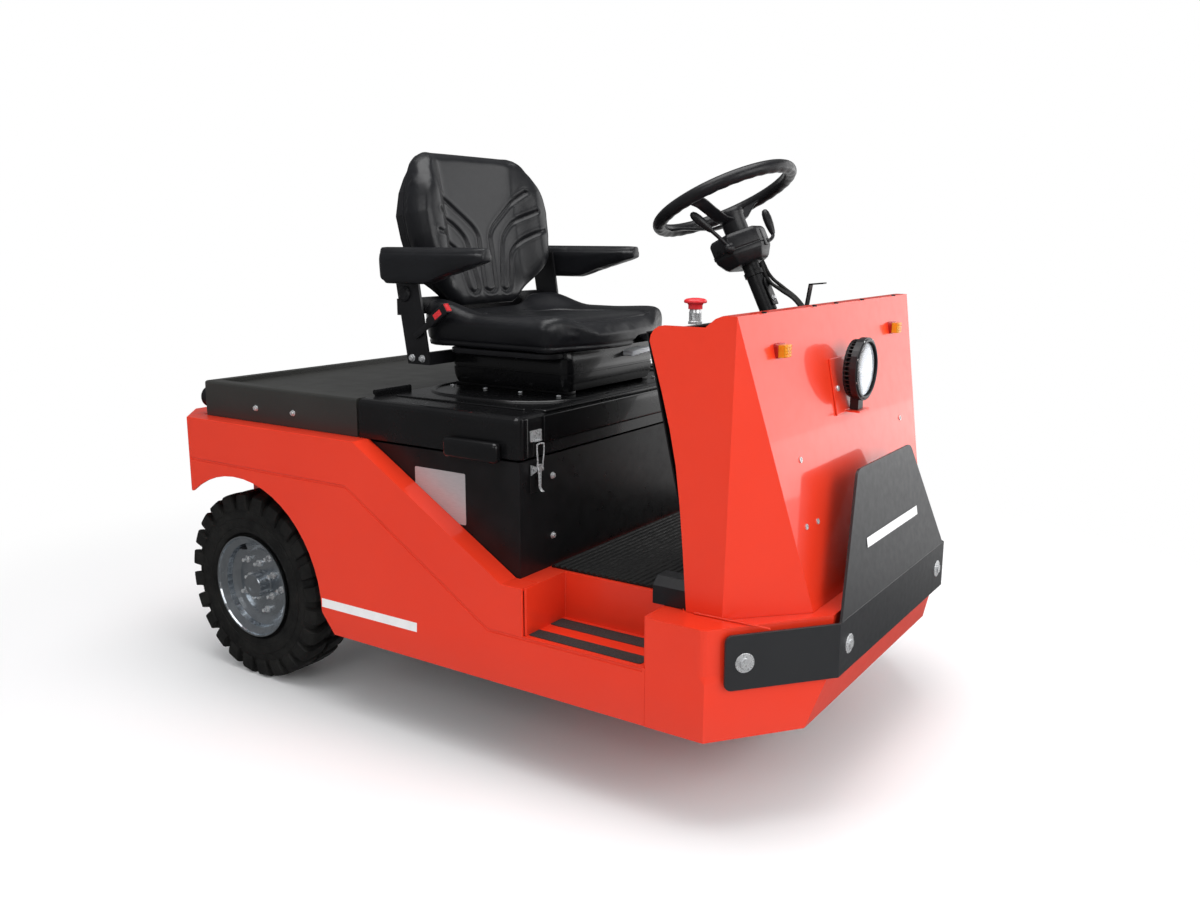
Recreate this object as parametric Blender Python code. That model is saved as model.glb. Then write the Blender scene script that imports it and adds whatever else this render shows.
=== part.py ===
"""A seated three-wheel electric tow tractor, in metres, +X forward and +Z up."""

import math

import bmesh
import bpy
from mathutils import Matrix, Vector

# Lengths along the vehicle are measured forward from the rear axle, heights from the ground
SEAM = 0.0004

# Main sizes
REAR_TYRE_RADIUS = 0.2075
BODY_HALF_WIDTH = 0.465
BODY_BOTTOM = 0.165
DECK_SPLIT_X = 0.333
SLOPE_RUN = 0.3625
STEP_LENGTH = 0.254
NOSE_SIDE = 0.11
FLOOR_RISE = 0.1906
FENDER_RISE = 0.2184
COWL_RISE = 0.4887
REAR_OVERHANG = 0.154

# Body
CREASE_RISE = 0.1005
CREASE_REAR_DROP = 0.09
CREASE_LEAD = 0.0314
CREASE_TURN_LEAD = 0.024
CREASE_WIDTH = 0.005
CREASE_DEPTH = 0.0014
STEP_DROP = 0.0886
STEP_DEPTH = 0.124
STEP_LEAD = 0.0475
SLOPE_LEAD = 0.026
FENDER_TIP_RISE = 0.2005
ARCH_RADIUS = 0.25
ARCH_FOOT = 0.035
SHEET = 0.005
FLANGE_WIDTH = 0.045
CUT_MARGIN = 0.02

# Nose
NOSE_FOOT_REACH = 0.113
NOSE_CREASE_REACH = 0.142
NOSE_CREASE_PROUD = 0.002
NOSE_FOLD_INSET = 0.144
NOSE_SHARP_RADIUS = 0.002
NOSE_BEND_RADIUS = 0.022
NOSE_BEND_RISE = 0.012
NOSE_UPPER_SETBACK = 0.002

# Bumper plate and shield
BUMPER_STANDOFF = 0.0155
BUMPER_END_REACH = 0.0265
BUMPER_END_INSET = 0.0195
BUMPER_BEND_INSET = 0.176
BUMPER_DROP = 0.0093
BUMPER_HEIGHT = 0.0935
BUMPER_THICKNESS = 0.005
BUMPER_CORNER = 0.012
SHIELD_HEIGHT = 0.2287
SHIELD_FOOT_INSET = 0.005
SHIELD_TOP_INSET = 0.147
SHIELD_CORNER = 0.024
SHIELD_LEAN_SHARE = 0.16
BUMPER_BOLT_INSET = 0.043
BUMPER_BOLT_DROP = 0.0489
SPACER_RADIUS = 0.011

# Cowl and dash
COWL_INSET = 0.061
COWL_TOP_REACH = 0.01
COWL_FOOT_SETBACK = 0.002
COWL_FOOT_FOLD_INSET = 0.114
COWL_LEAN_SHARE = 0.2
COWL_WALL = 0.004
COWL_REAR_FOOT_LEAD = 0.043
COWL_REAR_MIDDLE_SETBACK = 0.026
COWL_REAR_MIDDLE_DROP = 0.2443
COWL_REAR_TOP_SETBACK = 0.078
COWL_SHOULDER_DROP = 0.0193
COWL_SHOULDER_SETBACK = 0.055
COWL_SHOULDER_RAMP = 0.018
COWL_SHOULDER_RADIUS = 0.026
COWL_LIP = 0.024
DASH_SHEET = 0.003
DASH_FRONT_SETBACK = 0.011
DASH_FRONT_DROP = 0.0078
DASH_REAR_PROUD = 0.01
DASH_REAR_DROP = 0.012
DASH_FOOT_LEAD = 0.019
DASH_SIDE_GAP = 0.001

# Lamps on the cowl
HEADLIGHT_Y = -0.015
HEADLIGHT_DROP = 0.1143
HEADLIGHT_REACH = 0.069
HEADLIGHT_RADIUS = 0.057
HEADLIGHT_RIM = 0.013
HEADLIGHT_DEPTH = 0.027
HEADLIGHT_RING = 0.012
HEADLIGHT_FIN_DEPTH = 0.006
HEADLIGHT_FINS = 2
LENS_INSET = 0.008
LENS_RECESS = 0.003
LENS_DEPTH = 0.002
BRACKET_RIGHT_REACH = 0.063
BRACKET_LEFT_REACH = 0.05
BRACKET_DROP = 0.08
BRACKET_RISE = 0.02
BRACKET_SHEET = 0.003
BRACKET_FOOT_RISE = 0.006
BRACKET_FOOT_HALF = 0.026
BRACKET_FOOT_REACH = 0.03
LUG_HALF_WIDTH = 0.012
LUG_DEPTH = 0.016
AMBER_INSET = 0.128
AMBER_DROP = 0.0616
AMBER_WIDTH = 0.032
AMBER_HEIGHT = 0.024
AMBER_DEPTH = 0.017
AMBER_CORNER = 0.007

# Rear deck, hood and battery box
DECK_INSET = 0.04
DECK_REAR_INSET = 0.014
DECK_SEAT_GAP = 0.0006
DECK_HEIGHT = 0.0764
DECK_WALL = 0.005
DECK_RIM = 0.026
DECK_TRAY_DEPTH = 0.01
DECK_EDGE = 0.006
HOOD_REAR_GAP = 0.0055
HOOD_LEAD = 0.0145
HOOD_WALL = 0.005
HOOD_EDGE = 0.012
HINGE_RADIUS = 0.005
HINGE_LENGTH = 0.1
HINGE_INSET = 0.095
HINGE_LIFT = 0.0075
HANDLE_POD_SETBACK = 0.103
HANDLE_POD_RISE = 0.0094
HANDLE_POD_LENGTH = 0.12
HANDLE_POD_HEIGHT = 0.032
HANDLE_POD_DEPTH = 0.018
BOX_GAP = 0.0015
BOX_REAR_LEAD = 0.012
BOX_SETBACK = 0.005
BOX_DROP = 0.005
BOX_WALL = 0.003
BATTERY_END_GAP = 0.027
BATTERY_SIDE_GAP = 0.0385
BATTERY_DROP = 0.039

# Rear end
REAR_PANEL_REACH = 0.081
REAR_CHAMFER = 0.081
REAR_SHEET = 0.006
REAR_TONGUE_HALF = 0.16
REAR_TONGUE_DROP = 0.08
TAIL_LAMP_INSET = 0.027
TAIL_LAMP_RISE = 0.0364
TAIL_LAMP_RADIUS = 0.0235
TAIL_LAMP_DEPTH = 0.02
HITCH_Z = 0.3
HITCH_HALF_WIDTH = 0.045
HITCH_REACH = 0.085
HITCH_PLATE = 0.014
HITCH_FLANGE_HALF = 0.075
HITCH_FLANGE_HEIGHT = 0.075
HITCH_JAW_HALF_HEIGHT = 0.042
HITCH_JAW_PLATE = 0.012
HITCH_PIN_RADIUS = 0.0125
HITCH_PIN_INSET = 0.03
HITCH_PIN_CLEARANCE = 0.0008
HITCH_PIN_HEAD = 0.05
HITCH_PIN_TAIL = 0.02
HITCH_PIN_RING = 0.019

# Frame under the deck
WHEELHOUSE_Y = 0.315
WHEELHOUSE_SHEET = 0.003
WHEELHOUSE_BOTTOM = 0.3
RAIL_Y = 0.215
RAIL_WIDTH = 0.04
RAIL_HEIGHT = 0.07
RAIL_DROP = 0.008
AXLE_PAD_LENGTH = 0.07
CROSS_SETBACK = 0.085

# Floor
FLOOR_SHEET = 0.005
FLOOR_RIB_Y = 0.2
FLOOR_RIB_WIDTH = 0.03
FLOOR_RIB_DEPTH = 0.045
MAT_END_GAP = 0.007
MAT_LEAD = 0.027
MAT_BASE = 0.003
MAT_RIB = 0.0025
MAT_PITCH = 0.013
TOE_BLOCK_SETBACK = 0.07
TOE_BLOCK_LENGTH = 0.07
TOE_BLOCK_INSET = 0.006
TOE_BLOCK_WIDTH = 0.045
TOE_BLOCK_HEIGHT = 0.046
TOE_BLOCK_BEVEL = 0.014

# Rear wheels
REAR_TYRE_WIDTH = 0.115
REAR_TYRE_INSET = 0.021
RIM_FLANGE_RADIUS = 0.1134
RIM_SEAT_DROP = 0.0134
RIM_WALL = 0.005
RIM_FLANGE_WIDTH = 0.012
RIM_DISC_DEPTH = 0.034
RIM_DISC_THICKNESS = 0.008
RIM_DISC_INSET = 0.024
RIM_BOWL_INSET = 0.009
RIM_BOWL_DEPTH = 0.012
RIM_LIP = 0.0035
HUB_RADIUS = 0.034
HUB_NOSE_RADIUS = 0.024
HUB_NOSE_REACH = 0.028
AXLE_STUB_RADIUS = 0.02
STUB_CLEARANCE = 0.0006
STUB_END_GAP = 0.004
TYRE_BEAD_GAP = 0.0004
TYRE_SHOULDER = 0.017
TYRE_SHOULDER_DROP = 0.012
LUG_COUNT = 24
LUG_FOOT_DROP = 0.038
LUG_RISE = 0.014
LUG_SIDE_PROUD = 0.007
LUG_GROOVE_HALF = 0.005
LUG_SLANT_SHARE = 0.42
LUG_COLUMNS_SHARE = [(0.0, 0), (0.035, 1), (0.61, 1), (0.645, 0)]
AXLE_TUBE_RADIUS = 0.038
AXLE_FLANGE_RADIUS = 0.07
AXLE_FLANGE_WIDTH = 0.012
GEARBOX_RADIUS = 0.095
GEARBOX_HALF_WIDTH = 0.055
GEARBOX_Y = 0.07
MOTOR_RADIUS = 0.075
MOTOR_REACH = 0.27

# Front wheel and fork
FRONT_AXLE_SETBACK = 0.013
FRONT_TYRE_RADIUS = 0.15
FRONT_TYRE_WIDTH = 0.09
FRONT_RIM_RADIUS = 0.082
FRONT_RIM_INSET = 0.007
FRONT_HUB_GAP = 0.006
FRONT_STUB_RADIUS = 0.0125
FORK_SIDE_GAP = 0.011
FORK_CHEEK = 0.01
FORK_CHEEK_WIDTH = 0.06
FORK_CROWN_GAP = 0.006
FORK_CROWN = 0.012
FORK_NECK_RADIUS = 0.04
FORK_FOOT_DROP = 0.03
STEER_PLATE_RADIUS = 0.07
STEER_PLATE = 0.014

# Steering column
WHEEL_SETBACK = 0.07
WHEEL_RISE = 0.22
COLUMN_LEAN = math.radians(25.9)
STEERING_RADIUS = 0.134
STEERING_GRIP = 0.0125
HUB_TOP_DROP = 0.03
HUB_BOTTOM_DROP = 0.078
STEERING_HUB_RADIUS = 0.026
SPOKE_WIDTH = 0.024
SPOKE_THICKNESS = 0.009
HOUSING_GAP = 0.0006
HOUSING_HEIGHT = 0.07
HOUSING_HALF_WIDTH = 0.062
HOUSING_FRONT = 0.04
HOUSING_BACK = 0.05
HOUSING_CORNER = 0.02
COLUMN_RADIUS = 0.0175
COLUMN_LENGTH = 0.113
COLUMN_HOLE_GAP = 0.0004
LEVER_RADIUS = 0.0045
LEVER_KNOB_RADIUS = 0.009
LEVER_KNOB_LENGTH = 0.05

# The cable's route, from the rear edge of the dash top at the vehicle's middle
CABLE_RADIUS = 0.0042
CABLE_ROUTE = [
    (0.0155, -0.02, 0.0945),
    (0.025, -0.02, 0.075),
    (0.044, -0.018, 0.0535),
    (0.072, -0.013, 0.0435),
    (0.096, -0.008, 0.036),
    (0.1095, -0.006, 0.0185),
]

# Small controls
STOP_LEAD = 0.052
STOP_INSET = 0.074
STOP_BARREL_RADIUS = 0.0115
STOP_BARREL_HEIGHT = 0.024
STOP_BUTTON_RADIUS = 0.019
STOP_NECK_RADIUS = 0.014
STOP_BUTTON_HEIGHT = 0.018
HAND_LEVER_LEAD = 0.067
HAND_LEVER_Y = 0.09
HAND_LEVER_WIDTH = 0.016
HAND_LEVER_SHEET = 0.003
HAND_LEVER_HEIGHT = 0.05
HAND_LEVER_LEAN = 0.008
HAND_LEVER_ARM = 0.03
HAND_LEVER_LIFT = 0.0012
PEDAL_SHEET = 0.006
PEDAL_SETBACK = 0.066
PEDAL_LENGTH = 0.1
PEDAL_RISE = 0.05
PEDAL_HEEL = 0.008
ACCELERATOR_Y = -0.12
ACCELERATOR_WIDTH = 0.07
BRAKE_Y = 0.06
BRAKE_WIDTH = 0.06
PEDAL_BRIDGE = 0.02
LATCH_INSET = 0.0405
LATCH_HALF_WIDTH = 0.013
LATCH_DROP = 0.064
LATCH_HEIGHT = 0.053
LATCH_PLATE = 0.003
LATCH_LEVER = 0.009
LATCH_BAIL_DROP = 0.029
LATCH_WIRE = 0.003
LATCH_BAIL_LEAD = 0.0195

# Seat
SEAT_BASE_LEAD = 0.015
SEAT_BASE_LENGTH = 0.312
SEAT_BASE_HALF = 0.145
SEAT_BASE_HEIGHT = 0.087
SEAT_PLINTH_HALF = 0.17
SEAT_PLINTH = 0.012
SEAT_BASE_EDGE = 0.012
CUSHION_REAR_PROUD = 0.043
CUSHION_FRONT_PROUD = 0.045
CUSHION_HALF = 0.232
CUSHION_HEIGHT = 0.062
BACK_SETBACK = 0.005
BACK_GAP = 0.006
BACK_HEIGHT = 0.332
BACK_LEAN = math.radians(9.0)
BACK_THICKNESS = 0.07
BACK_HALF = 0.226
SHELL_THICKNESS = 0.02
SHELL_INSET = 0.014
SIDE_PLATE_GAP = 0.004
SIDE_PLATE = 0.006
SIDE_PLATE_SETBACK = 0.048
SIDE_PLATE_WIDTH = 0.06
SIDE_PLATE_LIFT = 0.049
SIDE_PLATE_RISE = 0.119
SIDE_PLATE_TOP_SETBACK = 0.038
SIDE_PLATE_TOP_WIDTH = 0.063
SPINE_SETBACK = 0.03
SPINE = 0.02
ARM_PIVOT_DROP = 0.025
ARM_PIN_RADIUS = 0.009
ARM_PIN_REACH = 0.02
ARM_GAP = 0.006
ARM_WIDTH = 0.046
ARM_REAR_REACH = 0.03
ARM_TIP_REACH = 0.245
ARM_TAPER_REACH = 0.085
ARM_TOP_RISE = 0.041
ARM_BOTTOM_DROP = 0.032
ARM_TIP_RISE = 0.016
ARM_EDGE = 0.008
BUCKLE_LEAD = 0.047
BUCKLE_PROUD = 0.011
BUCKLE_RISE = 0.006
BUCKLE_LENGTH = 0.06
BUCKLE_WIDTH = 0.022
BUCKLE_THICKNESS = 0.016
BUCKLE_LEAN = math.radians(-35.0)
STALK_REACH = 0.085
STALK_WIDTH = 0.014
STALK_THICKNESS = 0.0035
ADJUSTER_INSET = 0.085
ADJUSTER_WIDTH = 0.1
ADJUSTER_HEIGHT = 0.016
ADJUSTER_REACH = 0.044
ADJUSTER_DROP = 0.016

# The cushion from its rear edge: run along it, half width, height of the middle and of the side bolsters
CUSHION_RUN_SHARES = [
    (0.0, 0.86, 0.78, 0.84),
    (0.09, 0.96, 0.85, 1.3),
    (0.2, 0.99, 0.87, 1.48),
    (0.42, 1.0, 0.85, 1.14),
    (0.7, 1.0, 0.86, 1.06),
    (0.88, 0.94, 0.84, 0.96),
    (0.97, 0.84, 0.72, 0.76),
    (1.0, 0.78, 0.5, 0.5),
]

# Half of the cushion's section from its middle: place across, part of the bolster, and part of the height
CUSHION_SECTION_SHARES = [
    (0.0, 0.0, 1.0),
    (0.5, 0.0, 1.0),
    (0.72, 0.75, 1.0),
    (0.86, 1.0, 1.0),
    (0.97, 1.0, 0.78),
    (1.0, 0.5, 0.4),
    (0.95, 0.0, 0.0),
]

# The backrest from its foot: height, half width, and how far its wings stand out
BACK_RISE_SHARES = [
    (0.0, 0.43, 0.0),
    (0.04, 0.54, 0.15),
    (0.11, 0.67, 0.4),
    (0.18, 0.83, 0.7),
    (0.3, 0.93, 1.0),
    (0.46, 0.98, 1.0),
    (0.62, 1.0, 1.0),
    (0.78, 0.92, 0.85),
    (0.88, 0.83, 0.65),
    (0.94, 0.76, 0.45),
    (0.975, 0.69, 0.3),
    (1.0, 0.6, 0.2),
]

# Half of the backrest's section from its middle: place across, and depth without and with the wing
BACK_SECTION_SHARES = [
    (0.0, 0.4, 0.4),
    (0.4, 0.4, 0.43),
    (0.62, 0.42, 0.68),
    (0.8, 0.46, 0.96),
    (0.92, 0.44, 0.9),
    (0.99, 0.3, 0.55),
    (1.0, 0.15, 0.2),
    (0.93, 0.0, 0.0),
]

# How finely round shapes are cut
WHEEL_SEGMENTS = 40
ROUND_SEGMENTS = 24
SMALL_SEGMENTS = 12
CORNER_SEGMENTS = 4

# Heights that follow from these
CREASE_HEIGHT = BODY_BOTTOM + CREASE_RISE
FLOOR_TOP = BODY_BOTTOM + FLOOR_RISE
STEP_TOP = FLOOR_TOP - STEP_DROP
FENDER_TOP = FLOOR_TOP + FENDER_RISE
CREASE_REAR_Z = FENDER_TOP - CREASE_REAR_DROP
FENDER_TIP_HEIGHT = REAR_TYRE_RADIUS + FENDER_TIP_RISE
BUMPER_TOP = FLOOR_TOP - BUMPER_DROP
BUMPER_BOTTOM = BUMPER_TOP - BUMPER_HEIGHT
SHIELD_TOP = BUMPER_TOP + SHIELD_HEIGHT
BUMPER_BOLT_Z = BUMPER_TOP - BUMPER_BOLT_DROP
COWL_TOP = FLOOR_TOP + COWL_RISE
COWL_REAR_MIDDLE_Z = COWL_TOP - COWL_REAR_MIDDLE_DROP
COWL_SHOULDER = COWL_TOP - COWL_SHOULDER_DROP
DASH_FRONT_Z = COWL_TOP - DASH_FRONT_DROP
DASH_REAR_Z = COWL_SHOULDER - DASH_REAR_DROP
HEADLIGHT_Z = COWL_TOP - HEADLIGHT_DROP
BRACKET_BOTTOM = HEADLIGHT_Z - BRACKET_DROP
BRACKET_TOP = HEADLIGHT_Z + BRACKET_RISE
AMBER_Z = COWL_TOP - AMBER_DROP
DECK_BOTTOM = FENDER_TOP + DECK_SEAT_GAP
DECK_TOP = DECK_BOTTOM + DECK_HEIGHT
HANDLE_POD_Z = DECK_BOTTOM + HANDLE_POD_RISE
TAIL_LAMP_Z = DECK_BOTTOM + TAIL_LAMP_RISE
BOX_TOP = FENDER_TOP - BOX_DROP
BATTERY_BOTTOM = BODY_BOTTOM + BOX_WALL + SEAM
BATTERY_TOP = BOX_TOP - BATTERY_DROP
LATCH_BOTTOM = BOX_TOP - LATCH_DROP
LATCH_TOP = LATCH_BOTTOM + LATCH_HEIGHT
LATCH_BAIL_TOP = DECK_TOP - LATCH_BAIL_DROP
RAIL_TOP = FENDER_TIP_HEIGHT - RAIL_DROP
RAIL_BOTTOM = RAIL_TOP - RAIL_HEIGHT
REAR_TONGUE_BOTTOM = HITCH_Z - REAR_TONGUE_DROP
WHEEL_CENTRE_Z = DASH_REAR_Z + WHEEL_RISE
SEAT_BASE_TOP = DECK_TOP + SEAT_BASE_HEIGHT
CUSHION_TOP = SEAT_BASE_TOP + CUSHION_HEIGHT
BACK_BOTTOM_Z = CUSHION_TOP + BACK_GAP
SIDE_PLATE_BOTTOM = DECK_TOP + SIDE_PLATE_LIFT
SIDE_PLATE_TOP = BACK_BOTTOM_Z + SIDE_PLATE_RISE
ARM_PIVOT_Z = SIDE_PLATE_TOP - ARM_PIVOT_DROP
ARM_TOP = ARM_PIVOT_Z + ARM_TOP_RISE
ARM_BOTTOM = ARM_PIVOT_Z - ARM_BOTTOM_DROP
ARM_TIP_BOTTOM = ARM_PIVOT_Z + ARM_TIP_RISE
BUCKLE_Z = CUSHION_TOP + BUCKLE_RISE
ADJUSTER_Z = SEAT_BASE_TOP - ADJUSTER_DROP
FORK_CROWN_BOTTOM = 2 * FRONT_TYRE_RADIUS + FORK_CROWN_GAP

# Places along the vehicle that follow
FENDER_REAR_X = -REAR_OVERHANG
REAR_PANEL_X = FENDER_REAR_X - REAR_PANEL_REACH
DECK_REAR_X = FENDER_REAR_X + DECK_REAR_INSET
ARCH_FOOT_X = ARCH_RADIUS + ARCH_FOOT
SLOPE_TOP_X = DECK_SPLIT_X + SLOPE_LEAD
SLOPE_FOOT_X = SLOPE_TOP_X + SLOPE_RUN
STEP_REAR_X = SLOPE_FOOT_X + STEP_LEAD
STEP_FRONT_X = STEP_REAR_X + STEP_LENGTH
NOSE_CORNER_X = STEP_FRONT_X + NOSE_SIDE
CREASE_TURN_X = SLOPE_TOP_X - CREASE_TURN_LEAD
CREASE_FOOT_X = SLOPE_FOOT_X - CREASE_LEAD
NOSE_FOOT_X = NOSE_CORNER_X + NOSE_FOOT_REACH
NOSE_CREASE_X = NOSE_CORNER_X + NOSE_CREASE_REACH
NOSE_FRONT_X = NOSE_CREASE_X - NOSE_CREASE_PROUD
BUMPER_FRONT_X = NOSE_FRONT_X + BUMPER_STANDOFF
BUMPER_END_X = NOSE_CORNER_X + BUMPER_END_REACH
COWL_TOP_FRONT_X = NOSE_CORNER_X + COWL_TOP_REACH
COWL_FOOT_CORNER_X = NOSE_CORNER_X - COWL_FOOT_SETBACK
COWL_REAR_FOOT_X = STEP_FRONT_X + COWL_REAR_FOOT_LEAD
COWL_REAR_MIDDLE_X = COWL_REAR_FOOT_X - COWL_REAR_MIDDLE_SETBACK
COWL_REAR_TOP_X = COWL_REAR_FOOT_X - COWL_REAR_TOP_SETBACK
COWL_SHOULDER_END_X = COWL_TOP_FRONT_X - COWL_SHOULDER_SETBACK
DASH_FRONT_X = COWL_TOP_FRONT_X - DASH_FRONT_SETBACK
DASH_REAR_X = COWL_REAR_TOP_X - DASH_REAR_PROUD
DASH_FOOT_X = COWL_REAR_FOOT_X + DASH_FOOT_LEAD
HEADLIGHT_FRONT_X = COWL_TOP_FRONT_X + HEADLIGHT_REACH
HOOD_FRONT_X = SLOPE_FOOT_X + HOOD_LEAD
HANDLE_POD_X = HOOD_FRONT_X - HANDLE_POD_SETBACK
BOX_REAR_X = DECK_SPLIT_X + BOX_REAR_LEAD
BOX_FRONT_X = HOOD_FRONT_X - BOX_SETBACK
BATTERY_REAR_X = BOX_REAR_X + BOX_WALL + BATTERY_END_GAP
BATTERY_FRONT_X = BOX_FRONT_X - BOX_WALL - BATTERY_END_GAP
CROSS_X = BOX_REAR_X - CROSS_SETBACK
MAT_REAR_X = BOX_FRONT_X + MAT_END_GAP
MAT_FRONT_X = STEP_FRONT_X + MAT_LEAD
TOE_BLOCK_REAR_X = COWL_REAR_FOOT_X - TOE_BLOCK_SETBACK
FRONT_AXLE_X = STEP_FRONT_X - FRONT_AXLE_SETBACK
WHEEL_CENTRE_X = DASH_REAR_X - WHEEL_SETBACK
STOP_X = DASH_REAR_X + STOP_LEAD
HAND_LEVER_X = DASH_REAR_X + HAND_LEVER_LEAD
PEDAL_X = COWL_REAR_FOOT_X - PEDAL_SETBACK
LATCH_BAIL_X = BOX_FRONT_X + LATCH_BAIL_LEAD
SEAT_BASE_REAR_X = DECK_SPLIT_X + SEAT_BASE_LEAD
SEAT_BASE_FRONT_X = SEAT_BASE_REAR_X + SEAT_BASE_LENGTH
CUSHION_REAR_X = SEAT_BASE_REAR_X - CUSHION_REAR_PROUD
CUSHION_FRONT_X = SEAT_BASE_FRONT_X + CUSHION_FRONT_PROUD
BACK_BOTTOM_X = CUSHION_REAR_X - BACK_SETBACK
SIDE_PLATE_REAR_X = SEAT_BASE_REAR_X - SIDE_PLATE_SETBACK
SIDE_PLATE_FRONT_X = SIDE_PLATE_REAR_X + SIDE_PLATE_WIDTH
SIDE_PLATE_TOP_REAR_X = SIDE_PLATE_REAR_X - SIDE_PLATE_TOP_SETBACK
SIDE_PLATE_TOP_FRONT_X = SIDE_PLATE_TOP_REAR_X + SIDE_PLATE_TOP_WIDTH
SPINE_REAR_X = BACK_BOTTOM_X - SPINE_SETBACK
ARM_PIVOT_X = SIDE_PLATE_REAR_X
ARM_REAR_X = ARM_PIVOT_X - ARM_REAR_REACH
ARM_TIP_X = ARM_PIVOT_X + ARM_TIP_REACH
ARM_TAPER_X = ARM_PIVOT_X + ARM_TAPER_REACH
BUCKLE_X = SEAT_BASE_REAR_X + BUCKLE_LEAD

# Places across the vehicle that follow
NOSE_FOLD_Y = BODY_HALF_WIDTH - NOSE_FOLD_INSET
BUMPER_END_Y = BODY_HALF_WIDTH - BUMPER_END_INSET
BUMPER_BEND_Y = BODY_HALF_WIDTH - BUMPER_BEND_INSET
SHIELD_FOOT_HALF = BUMPER_BEND_Y - SHIELD_FOOT_INSET
SHIELD_TOP_HALF = BUMPER_BEND_Y - SHIELD_TOP_INSET
BUMPER_BOLT_Y = BUMPER_BEND_Y - BUMPER_BOLT_INSET
COWL_HALF_WIDTH = BODY_HALF_WIDTH - COWL_INSET
COWL_FOOT_FOLD_Y = COWL_HALF_WIDTH - COWL_FOOT_FOLD_INSET
BRACKET_RIGHT_Y = HEADLIGHT_Y - BRACKET_RIGHT_REACH
BRACKET_LEFT_Y = HEADLIGHT_Y + BRACKET_LEFT_REACH
AMBER_Y = COWL_HALF_WIDTH - AMBER_INSET
DECK_HALF_WIDTH = BODY_HALF_WIDTH - DECK_INSET
HINGE_Y = DECK_HALF_WIDTH - HINGE_INSET
BOX_HALF_WIDTH = BODY_HALF_WIDTH - FLANGE_WIDTH - BOX_GAP
BATTERY_HALF_WIDTH = BOX_HALF_WIDTH - BATTERY_SIDE_GAP
REAR_CHAMFER_Y = BODY_HALF_WIDTH - REAR_CHAMFER
TAIL_LAMP_Y = DECK_HALF_WIDTH - TAIL_LAMP_INSET
MAT_HALF_WIDTH = BODY_HALF_WIDTH - STEP_DEPTH - MAT_END_GAP
TOE_BLOCK_Y = -COWL_HALF_WIDTH + TOE_BLOCK_INSET
STOP_Y = -COWL_HALF_WIDTH + STOP_INSET
LATCH_Y = -BOX_HALF_WIDTH + LATCH_INSET
SIDE_PLATE_Y = CUSHION_HALF + SIDE_PLATE_GAP
BUCKLE_Y = -SIDE_PLATE_Y - BUCKLE_PROUD
ADJUSTER_Y = SEAT_PLINTH_HALF - ADJUSTER_INSET
REAR_WHEEL_Y = BODY_HALF_WIDTH - REAR_TYRE_INSET - REAR_TYRE_WIDTH / 2
FORK_CHEEK_Y = FRONT_TYRE_WIDTH / 2 + FORK_SIDE_GAP

# Round sizes that follow
HEADLIGHT_BACK_RADIUS = HEADLIGHT_RADIUS - HEADLIGHT_RIM
HEADLIGHT_FIN_RADIUS = HEADLIGHT_RADIUS - HEADLIGHT_RIM / 3
LENS_RADIUS = HEADLIGHT_RADIUS - LENS_INSET
RIM_SEAT_RADIUS = RIM_FLANGE_RADIUS - RIM_SEAT_DROP
RIM_DISC_RADIUS = RIM_SEAT_RADIUS - RIM_DISC_INSET
FRONT_RIM_WIDTH = FRONT_TYRE_WIDTH - 2 * FRONT_RIM_INSET
FRONT_HUB_HALF = FORK_CHEEK_Y - FRONT_HUB_GAP
HOUSING_TOP_DROP = HUB_BOTTOM_DROP + HOUSING_GAP
COLUMN_END_DROP = HOUSING_TOP_DROP + HOUSING_HEIGHT + COLUMN_LENGTH

# The datum sits so that the vehicle's box is centred
REAR_AXLE_X = (HITCH_REACH - REAR_PANEL_X - BUMPER_FRONT_X) / 2


# Scene and materials


def clear_scene():
    for old in list(bpy.data.objects):
        bpy.data.objects.remove(old, do_unlink=True)


def make_material(name, colour, roughness, metallic):
    material = bpy.data.materials.new(name)
    material.use_nodes = True
    surface = material.node_tree.nodes["Principled BSDF"]
    surface.inputs["Base Color"].default_value = (*colour, 1.0)
    surface.inputs["Roughness"].default_value = roughness
    surface.inputs["Metallic"].default_value = metallic
    material.diffuse_color = (*colour, 1.0)
    return material


def make_materials():
    looks = {
        "body_red": ((0.80, 0.058, 0.022), 0.28, 0.0),
        "black_steel": ((0.012, 0.012, 0.013), 0.38, 0.0),
        "black_plastic": ((0.016, 0.016, 0.018), 0.45, 0.0),
        "black_vinyl": ((0.014, 0.014, 0.016), 0.42, 0.0),
        "rubber": ((0.011, 0.011, 0.012), 0.75, 0.0),
        "zinc": ((0.62, 0.64, 0.66), 0.32, 1.0),
        "cast_grey": ((0.05, 0.05, 0.055), 0.6, 0.3),
        "battery_grey": ((0.06, 0.065, 0.07), 0.6, 0.0),
        "clear_lens": ((0.85, 0.88, 0.9), 0.06, 0.0),
        "amber_lens": ((0.9, 0.33, 0.02), 0.15, 0.0),
        "stop_red": ((0.72, 0.02, 0.03), 0.35, 0.0),
        "pale_grey": ((0.55, 0.56, 0.58), 0.4, 0.0),
    }
    return {name: make_material(name, *look) for name, look in looks.items()}


# Shapes


def finish_mesh(shape, name):
    bmesh.ops.recalc_face_normals(shape, faces=shape.faces)
    if shape.calc_volume(signed=True) < 0:
        bmesh.ops.reverse_faces(shape, faces=shape.faces)
    mesh = bpy.data.meshes.new(name)
    shape.to_mesh(mesh)
    shape.free()
    return mesh


def spread(point, axis, along):
    """A flat point and its place along the axis, as a point in space."""
    first, second = point
    if axis == "X":
        return Vector((along, first, second))
    if axis == "Y":
        return Vector((first, along, second))
    return Vector((first, second, along))


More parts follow.
